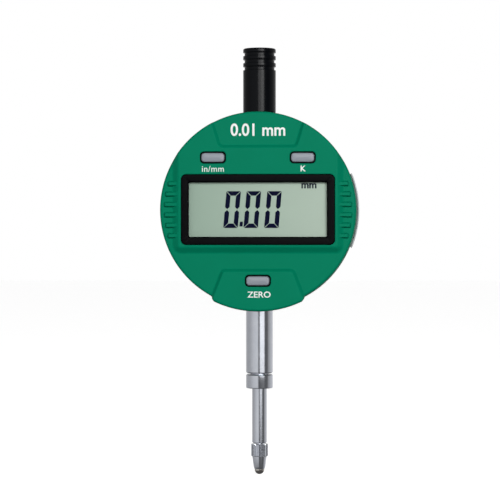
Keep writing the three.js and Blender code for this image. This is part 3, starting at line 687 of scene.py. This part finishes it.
def lug_back():
    """The back plate and its lug, with the cross hole for a stand's bolt."""
    low, high = box_mm("lug_back")
    plate_back = low.y + LUG["plate"]
    radius = (high.x - low.x) / 2
    hole_y = high.y - LUG["radius"]
    profile = fillet_profile([
        (0, plate_back, 0), (radius, plate_back, 0.6), (radius, low.y, 0.1), (0, low.y, 0),
    ])
    plate = turned("lug_back_plate", profile, "y", HEAD_CENTRE, 240)
    combined(plate, [lug(plate_back, hole_y)], "UNION")
    cutters = [bolt_hole(hole_y)]
    for k in range(4):
        screw = axis_spot(f"back_screw_{k + 1}")
        cutters.append(cylinder("hole", 1.25, low.y - 1, plate_back + 1, "y", screw, 32))
    return weighted_normals(flats_merged(combined(plate, cutters, "DIFFERENCE")))


def back_screw(node):
    """A pan-head screw with a cross recess."""
    low, high = box_mm(node)
    middle = (low + high) / 2
    head = (high.x - low.x) / 2
    seat = high.y - 1.2
    profile = fillet_profile([
        (0, high.y, 0), (head, high.y, 0.75), (head, seat, 0.1), (0.95, seat, 0),
        (0.95, low.y + 0.5, 0), (0.5, low.y, 0), (0, low.y, 0),
    ])
    body = turned(f"{node}_body", profile, "y", (middle.x, 0, middle.z), 64)
    reach, half, floor = 1.1, 0.24, high.y - 0.7
    centre = Vector((middle.x, 0, middle.z))
    arms = [
        block("arm", centre + Vector((-reach, floor, -half)), centre + Vector((reach, high.y + 1, half))),
        block("arm", centre + Vector((-half, floor, -reach)), centre + Vector((half, high.y + 1, reach))),
    ]
    return weighted_normals(combined(body, arms, "DIFFERENCE"))


# ---------------------------------------------------------------- display and keys


# Width and height of the view, of the seat for the window, and of the sleeve behind the frame's flange.
VIEW = (40.3, 15.9)
GLASS_SEAT = (41.3, 16.9)
SLEEVE = (43.2, 18.4)


def grown(size, extra):
    """A (width, height) that is larger both ways."""
    return size[0] + extra, size[1] + extra


def display_frame():
    """The black frame: a flange that slopes in to the view, a seat for the window, and a sleeve."""
    low, high = box_mm("display_frame")
    outer = grown((high.x - low.x, high.z - low.z), -FRAME_TRIM)
    front = low.y
    return weighted_normals(lofted("display_bezel", [
        (*outer, 1.5, front + 1.0),
        (*outer, 1.5, front + 0.28),
        (*grown(outer, -0.08), 1.46, front + 0.12),
        (*grown(outer, -0.28), 1.36, front + 0.02),
        (*grown(outer, -0.5), 1.25, front),
        (*grown(VIEW, 0.9), 0.7, front),
        (*grown(VIEW, 0.6), 0.6, front + 0.06),
        (*VIEW, 0.4, front + 0.45),
        (*VIEW, 0.4, front + 0.6),
        (*GLASS_SEAT, 0.4, front + 0.6),
        (*GLASS_SEAT, 0.4, high.y),
        (*SLEEVE, 0.8, high.y),
        (*SLEEVE, 0.8, front + 1.0),
    ], closed=True))


def button_collar(key):
    """The thin black surround of a key, with a rounded front."""
    low, high = box_mm(f"button_collar_{key}")
    middle = (low + high) / 2
    outer = grown((high.x - low.x, high.z - low.z), -COLLAR_TRIM)
    bore = grown(outer, -0.56)
    front = low.y
    return weighted_normals(lofted(f"key_surround_{key}", [
        (*outer, 1.1, high.y),
        (*outer, 1.1, front + 0.15),
        (*grown(outer, -0.05), 1.08, front + 0.05),
        (*grown(outer, -0.16), 1.02, front),
        (*grown(bore, 0.12), 0.94, front),
        (*bore, 0.9, front + 0.08),
        (*bore, 0.9, high.y),
    ], middle.x, middle.z - HEAD_Z, closed=True))


def button(key):
    """A key with a domed top, and the flange that keeps it in."""
    low, high = box_mm(f"button_{key}")
    middle = (low + high) / 2
    top = low.y
    flange = (high.x - low.x, high.z - low.z)
    crown = grown(flange, -1.8)
    sections = [
        (*flange, 1.0, high.y),
        (*flange, 1.0, high.y - 0.8),
        (*crown, 0.9, high.y - 0.8),
        (*crown, 0.9, top + 0.42),
    ]
    for share in (0.15, 0.4, 0.7, 1.0):
        angle = share * math.pi / 2
        inset = 0.55 * (1 - math.cos(angle))
        sections.append((*grown(crown, -2 * inset), 0.9 - inset, top + 0.42 - 0.34 * math.sin(angle)))
    sections.append((crown[0] - 2.2, crown[1] - 2.0, 0.25, top + 0.02))
    sections.append((crown[0] - 3.2, crown[1] - 2.3, 0.12, top))
    return weighted_normals(lofted(f"key_{key}", sections, middle.x, middle.z - HEAD_Z, smooth_angle=50))


# Lit bars of the reading, from the middle of the head.
DIGIT = {
    "width": 4.22, "height": 10.75, "stroke": 1.3, "bottom": -5.35,
    "slant": math.tan(math.radians(5)), "gap": 0.12,
}
DIGIT_LEFTS = (-10.15, -4.24, 1.8)
POINT_BOX = (-5.45, -4.9, 0.9, 1.4)


def zero_outlines(left):
    """The six lit bars of a 0, upright, with mitred ends."""
    width, height, stroke, gap = DIGIT["width"], DIGIT["height"], DIGIT["stroke"], DIGIT["gap"]
    middle = height / 2
    top = [
        (gap, height), (stroke + gap, height - stroke),
        (width - stroke - gap, height - stroke), (width - gap, height),
    ]
    side = [
        (0, height - gap), (0, middle + gap + stroke / 2), (stroke / 2, middle + gap),
        (stroke, middle + gap + stroke / 2), (stroke, height - stroke - gap),
    ]
    upper = [top, side, [(width - x, z) for x, z in side]]
    bars = upper + [[(x, height - z) for x, z in bar] for bar in upper]
    return [[(left + x, DIGIT["bottom"] + z) for x, z in bar] for bar in bars]


def thin_print(name, outlines, front, back):
    """Flat printed shapes as one thin piece."""
    return gathered(name, [prism("mark", outline, front, back) for outline in outlines])


def display_digits():
    """The reading 0.00 on the display."""
    front = box_mm("lcd_glass")[0].y
    outlines = [bar for left in DIGIT_LEFTS for bar in zero_outlines(left)]
    x, z, width, height = POINT_BOX
    outlines.append([(x, z), (x + width, z), (x + width, z + height), (x, z + height)])
    lean = DIGIT["slant"]
    slanted = [[(x + (z - DIGIT["bottom"]) * lean, z) for x, z in outline] for outline in outlines]
    return thin_print("display_digits", slanted, front - 0.06, front - 0.01)


def lettering(name, text, box, face, weight=0.0, spacing=1.0, height=0.05):
    """Raised lettering on the plane y = face, stretched to fill box = (left, right, bottom, top)."""
    curve = bpy.data.curves.new(name, "FONT")
    curve.body = text
    curve.size = 1
    curve.offset = weight
    curve.space_character = spacing
    curve.extrude = 0.5
    curve.resolution_u = 4
    source = bpy.data.objects.new("text", curve)
    bpy.context.scene.collection.objects.link(source)
    bpy.context.view_layer.update()
    mesh = bpy.data.meshes.new_from_object(source.evaluated_get(bpy.context.evaluated_depsgraph_get()))
    bpy.data.objects.remove(source)
    bm = bmesh.new()
    bm.from_mesh(mesh)
    xs = [v.co.x for v in bm.verts]
    ys = [v.co.y for v in bm.verts]
    first_x, first_y = min(xs), min(ys)
    left, right, bottom, top = box
    across = (right - left) / (max(xs) - first_x)
    up = (top - bottom) / (max(ys) - first_y)
    for vert in bm.verts:
        x = left + (vert.co.x - first_x) * across
        z = HEAD_Z + bottom + (vert.co.y - first_y) * up
        vert.co = (x, face - (vert.co.z + 0.5) * height, z)
    return finish_mesh(name, bm)


# ---------------------------------------------------------------- battery


TRAY = {
    "half": 10.9, "front": 1.0, "back": 4.7, "radius": 29.4,
    "pocket_x": 16.5, "pocket_radius": 10.3, "pocket_back": 4.2,
    "face_radius": 29.75, "face_thickness": 0.4, "face_reach": 22, "face_front": -0.2, "face_back": 5.8,
}
TRAY_GROOVES = {"count": 7, "pitch_degrees": 2.2, "radius": 0.32, "proud": 0.12, "front": 0.6, "back": 5.0}


def tray_face():
    """The tray's curved face, with finger grooves across it."""
    outer = TRAY["face_radius"]
    inner = outer - TRAY["face_thickness"]
    angles = [math.radians(TRAY["face_reach"] * (k / 20 - 1)) for k in range(41)]
    arc = [(outer * math.cos(a), outer * math.sin(a)) for a in angles]
    arc += [(inner * math.cos(a), inner * math.sin(a)) for a in reversed(angles)]
    face = bevelled(prism("tray_face", arc, TRAY["face_front"], TRAY["face_back"]), 0.15)
    grooves = []
    reach = outer + TRAY_GROOVES["proud"]
    for k in range(TRAY_GROOVES["count"]):
        angle = math.radians((k - (TRAY_GROOVES["count"] - 1) / 2) * TRAY_GROOVES["pitch_degrees"])
        spot = (math.cos(angle) * reach, 0, HEAD_Z + math.sin(angle) * reach)
        low, high = TRAY_GROOVES["front"], TRAY_GROOVES["back"]
        grooves.append(cylinder("groove", TRAY_GROOVES["radius"], low, high, "y", spot, 16))
    return combined(face, grooves, "DIFFERENCE")


def battery_tray():
    """The sliding tray: a round-ended drawer with a pocket for the cell, and the face."""
    low, high = box_mm("battery_tray")
    half, back = TRAY["half"], TRAY["back"]
    slide = block("battery_drawer", (low.x, TRAY["front"], HEAD_Z - half), (high.x, back, HEAD_Z + half))
    combined(slide, [cylinder("case_round", TRAY["radius"], 0, 6, "y", HEAD_CENTRE, 240)], "INTERSECT")
    middle, reach, floor = TRAY["pocket_x"], TRAY["pocket_radius"], TRAY["pocket_back"]
    pocket = [
        cylinder("pocket", reach, 0, floor, "y", (middle, 0, HEAD_Z), 128),
        block("mouth", (5, 0, HEAD_Z - reach), (middle, floor, HEAD_Z + reach)),
    ]
    combined(slide, pocket, "DIFFERENCE")
    return weighted_normals(combined(slide, [tray_face()], "UNION"))


def coin_cell():
    """The cell: a flat can with a smaller lid."""
    low, high = box_mm("coin_cell")
    radius = (high.x - low.x) / 2
    centre = ((low.x + high.x) / 2, 0, HEAD_Z)
    profile = fillet_profile([
        (0, low.y, 0), (radius - 1.2, low.y, 0.1), (radius - 1.1, low.y + 0.3, 0.05),
        (radius, low.y + 0.35, 0.15), (radius, high.y, 0.3), (radius - 1.4, high.y, 0),
        (radius - 1.55, high.y - 0.08, 0), (0, high.y - 0.08, 0),
    ], 4)
    return turned("coin_cell_can", profile, "y", centre, 128)


# ---------------------------------------------------------------- stem, spindle and cap


def stem():
    low, high = box_mm("stem")
    radius = (high.x - low.x) / 2
    return turned("clamping_stem", [
        (3, low.z), (radius - 0.28, low.z), (radius - 0.06, low.z + 0.22), (radius, low.z + 0.32),
        (radius, high.z), (3, high.z),
    ], segments=144, smooth_angle=20)


def stem_end_bush():
    low, high = box_mm("stem_end_bush")
    radius = (high.x - low.x) / 2
    bore = 2.8
    seal_low, seal_high = box_mm("wiper_seal")
    groove = (seal_high.x - seal_low.x) / 2 + 0.3
    return turned("stem_bush", [
        (bore, low.z), (radius - 0.25, low.z), (radius - 0.05, low.z + 0.12), (radius, low.z + 0.3),
        (radius, high.z - 0.32), (radius - 0.06, high.z - 0.22), (radius - 0.28, high.z), (bore, high.z),
        (bore, seal_high.z + 0.3), (groove, seal_high.z + 0.3),
        (groove, seal_low.z - 0.3), (bore, seal_low.z - 0.3),
    ], segments=144, smooth_angle=20)


def spindle():
    low, high = box_mm("spindle")
    radius = (high.x - low.x) / 2
    return turned("measuring_spindle", [
        (0, -24.5), (1.5, -24.5), (1.5, low.z), (radius - 0.2, low.z), (radius, low.z + 0.2),
        (radius, high.z - 0.4), (radius - 0.4, high.z), (0, high.z),
    ], segments=96)


KNURL_TEETH = 26
KNURL_DEPTH = 0.24


def contact_point():
    """The screw-in point: threaded shank, knurled ring, tapered nose."""
    low, high = box_mm("contact_point")
    ring_radius = (high.x - low.x) / 2
    top, bottom = -30.1, -33.8
    lip = low.z - 0.7
    nose = [
        (0, low.z + 0.9), (1.3, low.z + 0.9), (1.52, low.z), (1.51, lip), (1.55, lip), (1.64, lip + 0.3),
        (1.76, low.z), (2.14, bottom - 0.3), (2.17, bottom - 0.05),
    ]
    ring = [
        (ring_radius - 0.16, bottom), (ring_radius, bottom + 0.2),
        (ring_radius, top - 0.2), (ring_radius - 0.16, top),
    ]
    shank = [(1.2, top), (1.2, high.z - 0.3), (0.95, high.z), (0, high.z)]

    def knurled(radius, height, step):
        on_ring = radius > 2.2 and bottom + 0.1 < height < top - 0.1
        between_teeth = step % 4 > 1
        return radius - (KNURL_DEPTH if on_ring and between_teeth else 0)

    profile = nose + ring + shank
    return turned("contact_tip_holder", profile, segments=KNURL_TEETH * 4, smooth_angle=20, shaped=knurled)


def ball():
    low, high = box_mm("contact_ball")
    radius = (high.z - low.z) / 2
    middle = (high.z + low.z) / 2
    steps = 32
    angles = [-math.pi / 2 + math.pi * k / steps for k in range(steps + 1)]
    profile = [(max(radius * math.cos(a), 0), middle + radius * math.sin(a)) for a in angles]
    return turned("contact_tip", profile, segments=64, smooth_angle=60)


CAP_GROOVES = {"first": 1.25, "pitch": 2.1, "width": 1.0, "depth": 0.42, "count": 3}


def spindle_cap():
    """The screw-off cap, with three rounded finger grooves near its top."""
    low, high = box_mm("spindle_cap")
    mouth = low.z - 0.22
    radius = (high.x - low.x) / 2
    bore = 3.95
    corners = [
        (0, high.z - 1.2, 0), (bore, high.z - 1.2, 0.2), (bore, low.z + 1.5, 0), (4.35, low.z + 1.5, 0),
        (4.35, mouth, 0), (radius, mouth, 0.15),
    ]
    floor = radius - CAP_GROOVES["depth"]
    for k in reversed(range(CAP_GROOVES["count"])):
        top = high.z - CAP_GROOVES["first"] - k * CAP_GROOVES["pitch"]
        bottom = top - CAP_GROOVES["width"]
        corners += [(radius, bottom, 0.1), (floor, bottom, 0.12), (floor, top, 0.12), (radius, top, 0.1)]
    corners += [(radius, high.z, 0.4), (0, high.z, 0)]
    return weighted_normals(turned("screw_cap", fillet_profile(corners, 4), segments=144))


def cap_seal():
    low, high = box_mm("cap_seal_ring")
    wire = (high.z - low.z) / 2
    ring = (high.x - low.x) / 2 - wire
    level = (high.z + low.z) / 2
    angles = [2 * math.pi * k / 16 for k in range(16)]
    profile = [(ring + wire * math.cos(a), level + wire * math.sin(a)) for a in angles]
    return turned("cap_o_ring", profile, segments=96, smooth_angle=60)


def cap_boss():
    """The boss that takes the cap, with ridges in place of its thread."""
    low, high = box_mm("cap_boss")
    flange = (high.x - low.x) / 2
    outer, bore, pitch = 3.6, 3.0, 0.75
    root = outer - 0.25
    points = [(bore, low.z), (flange, low.z), (flange, low.z + 1.6), (root, low.z + 1.6)]
    level = low.z + 7.6
    while level + pitch < high.z - 0.4:
        crest = [(outer, level + pitch * 0.4), (outer, level + pitch * 0.6)]
        points += [(root, level), *crest, (root, level + pitch)]
        level += pitch
    points += [(root, high.z - 0.4), (outer - 0.5, high.z), (bore, high.z)]
    return turned("cap_thread_boss", points, segments=96, smooth_angle=25)


# ---------------------------------------------------------------- materials


def srgb(red, green, blue):
    """A linear colour from display values of 0 to 255."""
    def linear(value):
        value /= 255
        return value / 12.92 if value <= 0.04045 else ((value + 0.055) / 1.055) ** 2.4
    return (linear(red), linear(green), linear(blue), 1)


def between(nodes, links, source, low, high):
    """Maps a noise value onto a range."""
    mapped = nodes.new("ShaderNodeMapRange")
    mapped.inputs["From Min"].default_value = 0.3
    mapped.inputs["From Max"].default_value = 0.7
    mapped.inputs["To Min"].default_value = low
    mapped.inputs["To Max"].default_value = high
    links.new(source, mapped.inputs["Value"])
    return mapped.outputs["Result"]


def noise(nodes, links, vector, size_mm, detail=2.0):
    """Noise whose features are about size_mm across."""
    node = nodes.new("ShaderNodeTexNoise")
    node.inputs["Scale"].default_value = 1000 / size_mm
    node.inputs["Detail"].default_value = detail
    links.new(vector, node.inputs["Vector"])
    return node.outputs["Fac"]


def mixed(nodes, links, share, first, second):
    """A colour between two, which may be colours or sockets."""
    mix = nodes.new("ShaderNodeMix")
    mix.data_type = "RGBA"
    links.new(share, mix.inputs["Factor"])
    for socket, colour in ((mix.inputs[6], first), (mix.inputs[7], second)):
        if isinstance(colour, tuple):
            socket.default_value = colour
        else:
            links.new(colour, socket)
    return mix.outputs[2]


def share_of(nodes, links, value, low, high):
    """How far a value has gone from low to high, from 0 to 1."""
    node = nodes.new("ShaderNodeMapRange")
    node.inputs["From Min"].default_value = low
    node.inputs["From Max"].default_value = high
    links.new(value, node.inputs["Value"])
    return node.outputs["Result"]


def finish(name, light, dark, roughness, grain, bump, metallic=0.0, patch=8.0, stretch=(1, 1, 1), gloss=0.5):
    """A surface that drifts between two colours, with a fine grain in its gloss and its relief.

    grain and patch are feature sizes in mm. stretch flattens the grain along an axis, as brushing does.
    """
    material = bpy.data.materials.new(name)
    material.use_nodes = True
    nodes, links = material.node_tree.nodes, material.node_tree.links
    shader = nodes["Principled BSDF"]
    place = nodes.new("ShaderNodeTexCoord").outputs["Object"]
    scaled = nodes.new("ShaderNodeMapping")
    scaled.inputs["Scale"].default_value = stretch
    links.new(place, scaled.inputs["Vector"])
    fine = noise(nodes, links, scaled.outputs["Vector"], grain)
    drift = noise(nodes, links, place, patch)
    links.new(mixed(nodes, links, drift, srgb(*dark), srgb(*light)), shader.inputs["Base Color"])
    links.new(between(nodes, links, fine, roughness * 0.85, roughness * 1.15), shader.inputs["Roughness"])
    shader.inputs["Metallic"].default_value = metallic
    shader.inputs["Specular IOR Level"].default_value = gloss
    relief = nodes.new("ShaderNodeBump")
    relief.inputs["Strength"].default_value = bump
    relief.inputs["Distance"].default_value = 0.00005
    links.new(fine, relief.inputs["Height"])
    links.new(relief.outputs["Normal"], shader.inputs["Normal"])
    return material


def lcd_finish():
    """Grey-green glass with painted shade: darker towards the left, a little lighter towards the right."""
    material = finish("lcd", (184, 202, 186), (180, 198, 183), 0.4, 0.2, 0.03, gloss=0.2)
    nodes, links = material.node_tree.nodes, material.node_tree.links
    shader = nodes["Principled BSDF"]
    even = shader.inputs["Base Color"].links[0].from_socket
    split = nodes.new("ShaderNodeSeparateXYZ")
    links.new(nodes["Texture Coordinate"].outputs["Object"], split.inputs["Vector"])
    # Painted shade: the colour fades from the lit right side to a darker left side, standing in for the
    # light falling from the right.
    across = share_of(nodes, links, split.outputs["X"], -0.02, 0.02)
    painted_shade_gradient = mixed(nodes, links, across, srgb(158, 182, 165), even)
    links.new(painted_shade_gradient, shader.inputs["Base Color"])
    return material


def window_finish():
    """A clear pane: nearly all of it lets the display show."""
    material = finish("clear_window", (30, 34, 34), (24, 28, 28), 0.05, 3.0, 0.01, gloss=0.2)
    material.node_tree.nodes["Principled BSDF"].inputs["Alpha"].default_value = 0.05
    return material


def board_finish():
    """Green solder mask with fine copper tracks showing through."""
    material = finish("circuit_board", (22, 92, 52), (14, 70, 40), 0.35, 0.5, 0.1)
    nodes, links = material.node_tree.nodes, material.node_tree.links
    shader = nodes["Principled BSDF"]
    mask = shader.inputs["Base Color"].links[0].from_socket
    tracks = nodes.new("ShaderNodeTexBrick")
    tracks.inputs["Scale"].default_value = 260
    tracks.inputs["Mortar Size"].default_value = 0.03
    turned_board = nodes.new("ShaderNodeMapping")
    turned_board.inputs["Rotation"].default_value = (math.radians(90), 0, 0)
    links.new(nodes["Texture Coordinate"].outputs["Object"], turned_board.inputs["Vector"])
    links.new(turned_board.outputs["Vector"], tracks.inputs["Vector"])
    tracked = mixed(nodes, links, tracks.outputs["Fac"], mask, srgb(60, 140, 80))
    links.new(tracked, shader.inputs["Base Color"])
    return material


# Stretches of the grain: brushed along x, and turned about z.
ALONG_X = (0.05, 1, 1)
AROUND_Z = (0.15, 0.15, 1)

FINISHES = {
    "cover_green": finish("cover_green", (0, 122, 91), (0, 117, 86), 0.5, 0.22, 0.12, gloss=0.03),
    "case_grey": finish("case_grey", (196, 199, 200), (188, 191, 192), 0.5, 0.25, 0.18),
    "lug_aluminium": finish(
        "lug_aluminium", (196, 198, 200), (180, 182, 185), 0.34, 0.12, 0.2, 1, 5, ALONG_X,
    ),
    "gloss_black": finish("gloss_black", (6, 7, 9), (3, 4, 6), 0.3, 0.8, 0.03, patch=5, gloss=0.03),
    "clear_window": window_finish(),
    "lcd": lcd_finish(),
    "white_plastic": finish("white_plastic", (228, 228, 224), (216, 216, 212), 0.5, 0.3, 0.12),
    "rubber_black": finish("rubber_black", (22, 23, 26), (15, 16, 18), 0.72, 0.15, 0.3, patch=2),
    "circuit_board": board_finish(),
    "potting": finish("potting", (20, 20, 22), (10, 10, 12), 0.28, 0.9, 0.2, patch=2),
    "cell_steel": finish("cell_steel", (214, 214, 210), (196, 196, 192), 0.22, 0.15, 0.1, 1, 4),
    "contact_brass": finish("contact_brass", (206, 172, 98), (184, 148, 78), 0.28, 0.12, 0.15, 1, 3),
    "bright_steel": finish(
        "bright_steel", (206, 209, 216), (192, 196, 205), 0.15, 0.08, 0.05, 1, 3, AROUND_Z,
    ),
    "carbide": finish("carbide", (200, 196, 190), (184, 181, 176), 0.16, 0.1, 0.03, 1, 1),
    "screw_steel": finish("screw_steel", (188, 190, 194), (165, 168, 172), 0.3, 0.12, 0.15, 1, 1.5),
    "cap_black": finish("cap_black", (8, 10, 14), (5, 6, 9), 0.2, 0.1, 0.04, 0, 4, AROUND_Z, gloss=0.1),
    "key_grey": finish("key_grey", (134, 140, 149), (126, 132, 141), 0.45, 0.25, 0.12, patch=2),
    "label_white": finish("label_white", (236, 238, 236), (222, 225, 223), 0.55, 0.2, 0.1, patch=2),
    "display_ink": finish("display_ink", (6, 10, 46), (3, 6, 38), 0.5, 0.3, 0.02, patch=3, gloss=0.03),
}


# ---------------------------------------------------------------- the indicator


def build_casing():
    placed(front_cover(), "case", "cover_green", "front_cover")
    placed(cover_posts(), "case", "cover_green")
    placed(rear_case(), "case", "case_grey", "rear_case")
    placed(guide_ears(), "case", "case_grey")
    placed(lug_back(), "case", "lug_aluminium", "lug_back")
    for k in range(4):
        node = f"back_screw_{k + 1}"
        placed(back_screw(node), "case", "screw_steel", node)


def printed(piece, body, finish_name):
    """Printed marks ride on a body and stand for no CAD node."""
    piece.data.materials.append(FINISHES[finish_name])
    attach(piece, body)


def build_front():
    placed(display_frame(), "case", "gloss_black", "display_frame")
    printed(display_digits(), "case", "display_ink")
    lcd_front = box_mm("lcd_glass")[0].y
    unit = lettering("display_unit", "mm", (12.7, 17.1, 6.2, 7.75), lcd_front - 0.01, 0.03)
    printed(unit, "case", "display_ink")
    for key in KEYS:
        placed(button_collar(key), "case", "gloss_black", f"button_collar_{key}")
        placed(button(key), f"button_{key}", "key_grey", f"button_{key}")
    pad_face = RING_Y - ZERO_PAD["rise"]
    panel_floor = PLATFORM_Y - LOGO_PANEL["rise"]
    for name, text, box, face, weight, spacing in (
        ("label_units", "in/mm", (-16.3, -9.9, 11, 12.8), PLATFORM_Y, 0.003, 1.06),
        ("label_k", "K", (12.5, 14.0, 11.1, 12.8), PLATFORM_Y, 0.02, 1),
        ("label_zero", "ZERO", (-3.05, 3.75, -25.7, -23.9), pad_face, 0.015, 1),
        ("label_step", "0.01 mm", (-8, 8, 21.5, 25.2), panel_floor, 0.02, 1),
    ):
        printed(lettering(name, text, box, face, weight, spacing), "case", "label_white")


def build_battery():
    placed(battery_tray(), "battery_tray", "case_grey", "battery_tray")
    placed(coin_cell(), "battery_tray", "cell_steel", "coin_cell")


def build_spindle():
    placed(stem(), "case", "bright_steel", "stem")
    placed(stem_end_bush(), "case", "bright_steel", "stem_end_bush")
    placed(cap_boss(), "case", "bright_steel", "cap_boss")
    placed(spindle(), "spindle", "bright_steel", "spindle")
    placed(contact_point(), "spindle", "bright_steel", "contact_point")
    placed(ball(), "spindle", "carbide", "contact_ball")
    placed(spindle_cap(), "spindle_cap", "cap_black", "spindle_cap")
    placed(cap_seal(), "cap_seal", "rubber_black", "cap_seal_ring")


def dress_frame_nodes():
    """Gives the CAD nodes that stay visible their finishes."""
    for part in frame["record"]["subparts"]:
        node = frame["nodes"].get(part["node"])
        if node is None or node.hide_render:
            continue
        node.data.materials.clear()
        node.data.materials.append(FINISHES[part["material_slot"]])


build_casing()
build_front()
build_battery()
build_spindle()
dress_frame_nodes()

# ---------------------------------------------------------------- studio


def studio_floor():
    """A wide pale floor under the contact ball."""
    level = cad_bounds[0][2] / MM - 0.2
    bm = bmesh.new()
    corners = [(-4000, -4000), (4000, -4000), (4000, 4000), (-4000, 4000)]
    bm.faces.new([bm.verts.new((x, y, level)) for x, y in corners])
    floor = finish_mesh("floor", bm)
    pale = finish("floor", (250, 250, 250), (246, 246, 246), 0.8, 3, 0.02, patch=60)
    pale.node_tree.nodes["Principled BSDF"].inputs["Emission Color"].default_value = (1, 1, 1, 1)
    pale.node_tree.nodes["Principled BSDF"].inputs["Emission Strength"].default_value = FLOOR_LIGHT
    floor.data.materials.append(pale)
    floor.visible_diffuse = False
    floor.visible_glossy = False


# Brightness of the studio walls by direction, in degrees to the right of straight in front.
WALLS = [
    (-180, 0.6), (-143, 0.58), (-106, 0.5), (-79, 0.58), (-50, 0.78), (-20, 0.86), (-11, 0.8), (-6, 0.12),
    (20, 0.2), (38, 0.26), (50, 0.15), (74, 0.15), (84, 0.42), (115, 0.7), (160, 0.9), (180, 0.7),
]
# Brightness of the studio above and below its walls.
SHADE = 0.12
# Strength of the world: colours are divided by it, as a ramp's colours end at 1.
WALL_STRENGTH = 3.0
# Strength that makes the floor white in the picture.
FLOOR_LIGHT = 0.76


def calculated(nodes, links, operation, *values):
    """The result of a math node. Each value is a number or another node's output."""
    node = nodes.new("ShaderNodeMath")
    node.operation = operation
    for socket, value in zip(node.inputs, values):
        if isinstance(value, float):
            socket.default_value = value
        else:
            links.new(value, socket)
    return node.outputs[0]


def studio_walls():
    """Soft walls of light all round, seen by the object only. The camera sees plain white."""
    world = bpy.data.worlds.new("studio")
    bpy.context.scene.world = world
    world.use_nodes = True
    nodes, links = world.node_tree.nodes, world.node_tree.links
    background = nodes["Background"]
    split = nodes.new("ShaderNodeSeparateXYZ")
    links.new(nodes.new("ShaderNodeTexCoord").outputs["Generated"], split.inputs["Vector"])
    backwards = calculated(nodes, links, "MULTIPLY", split.outputs["Y"], -1.0)
    heading = calculated(nodes, links, "ARCTAN2", split.outputs["X"], backwards)
    ramp = nodes.new("ShaderNodeValToRGB")
    elements = ramp.color_ramp.elements
    while len(elements) < len(WALLS):
        elements.new(0.5)
    for element, (angle, light) in zip(elements, WALLS):
        element.position = (angle + 180) / 360
        element.color = (light / WALL_STRENGTH,) * 3 + (1,)
    links.new(share_of(nodes, links, heading, -math.pi, math.pi), ramp.inputs["Fac"])
    path = nodes.new("ShaderNodeLightPath")
    steepness = calculated(nodes, links, "ABSOLUTE", split.outputs["Z"])
    height = share_of(nodes, links, steepness, 0.28, 0.6)
    shade = (SHADE / WALL_STRENGTH,) * 3 + (1,)
    white = (1 / WALL_STRENGTH,) * 3 + (1,)
    walls = mixed(nodes, links, height, ramp.outputs["Color"], shade)
    seen = mixed(nodes, links, path.outputs["Is Camera Ray"], walls, white)
    links.new(seen, background.inputs["Color"])
    background.inputs["Strength"].default_value = WALL_STRENGTH


def soft_light(name, position, size, power):
    """A soft box that faces the object from one side, unseen by the camera. Metres and watts."""
    data = bpy.data.lights.new(name, "AREA")
    data.shape = "RECTANGLE"
    data.size, data.size_y = size
    data.energy = power
    light = bpy.data.objects.new(name, data)
    light.location = position
    towards = Vector((0, 0, position[2])) - Vector(position)
    light.rotation_euler = towards.to_track_quat("-Z", "Y").to_euler()
    light.visible_camera = False
    bpy.context.scene.collection.objects.link(light)


def strip_light(name, bottom, top, width, power):
    """A soft box to the right of the camera, between the heights it is meant to shine in."""
    turn, reach = math.radians(25), 0.6
    position = (reach * math.sin(turn), -reach * math.cos(turn), (bottom + top) / 2)
    soft_light(name, position, (width, top - bottom), power)


CAMERA = {"turn": 2.0, "distance": 620, "drop": 12, "lens": 149.5, "shift": (-0.019, 0.0014)}


def camera():
    """A little below the middle of the round body, and a little to its right."""
    data = bpy.data.cameras.new("camera")
    data.lens = CAMERA["lens"]
    data.sensor_width = 36
    data.shift_x, data.shift_y = CAMERA["shift"]
    turn = math.radians(CAMERA["turn"])
    holder = bpy.data.objects.new("camera", data)
    reach = CAMERA["distance"]
    holder.location = Vector((reach * math.sin(turn), -reach * math.cos(turn), HEAD_Z - CAMERA["drop"])) * MM
    holder.rotation_euler = (math.radians(90), 0, turn)
    bpy.context.scene.collection.objects.link(holder)
    bpy.context.scene.camera = holder


studio_floor()
studio_walls()
soft_light("key", (0.12, -1.1, 0.36), (0.5, 0.5), 6)
strip_light("stem_strip", -0.062, 0.06, 0.44, 0.2)
strip_light("cap_strip", 0.09, 0.3, 0.18, 1.4)
camera()
bpy.context.scene.view_settings.view_transform = "Standard"
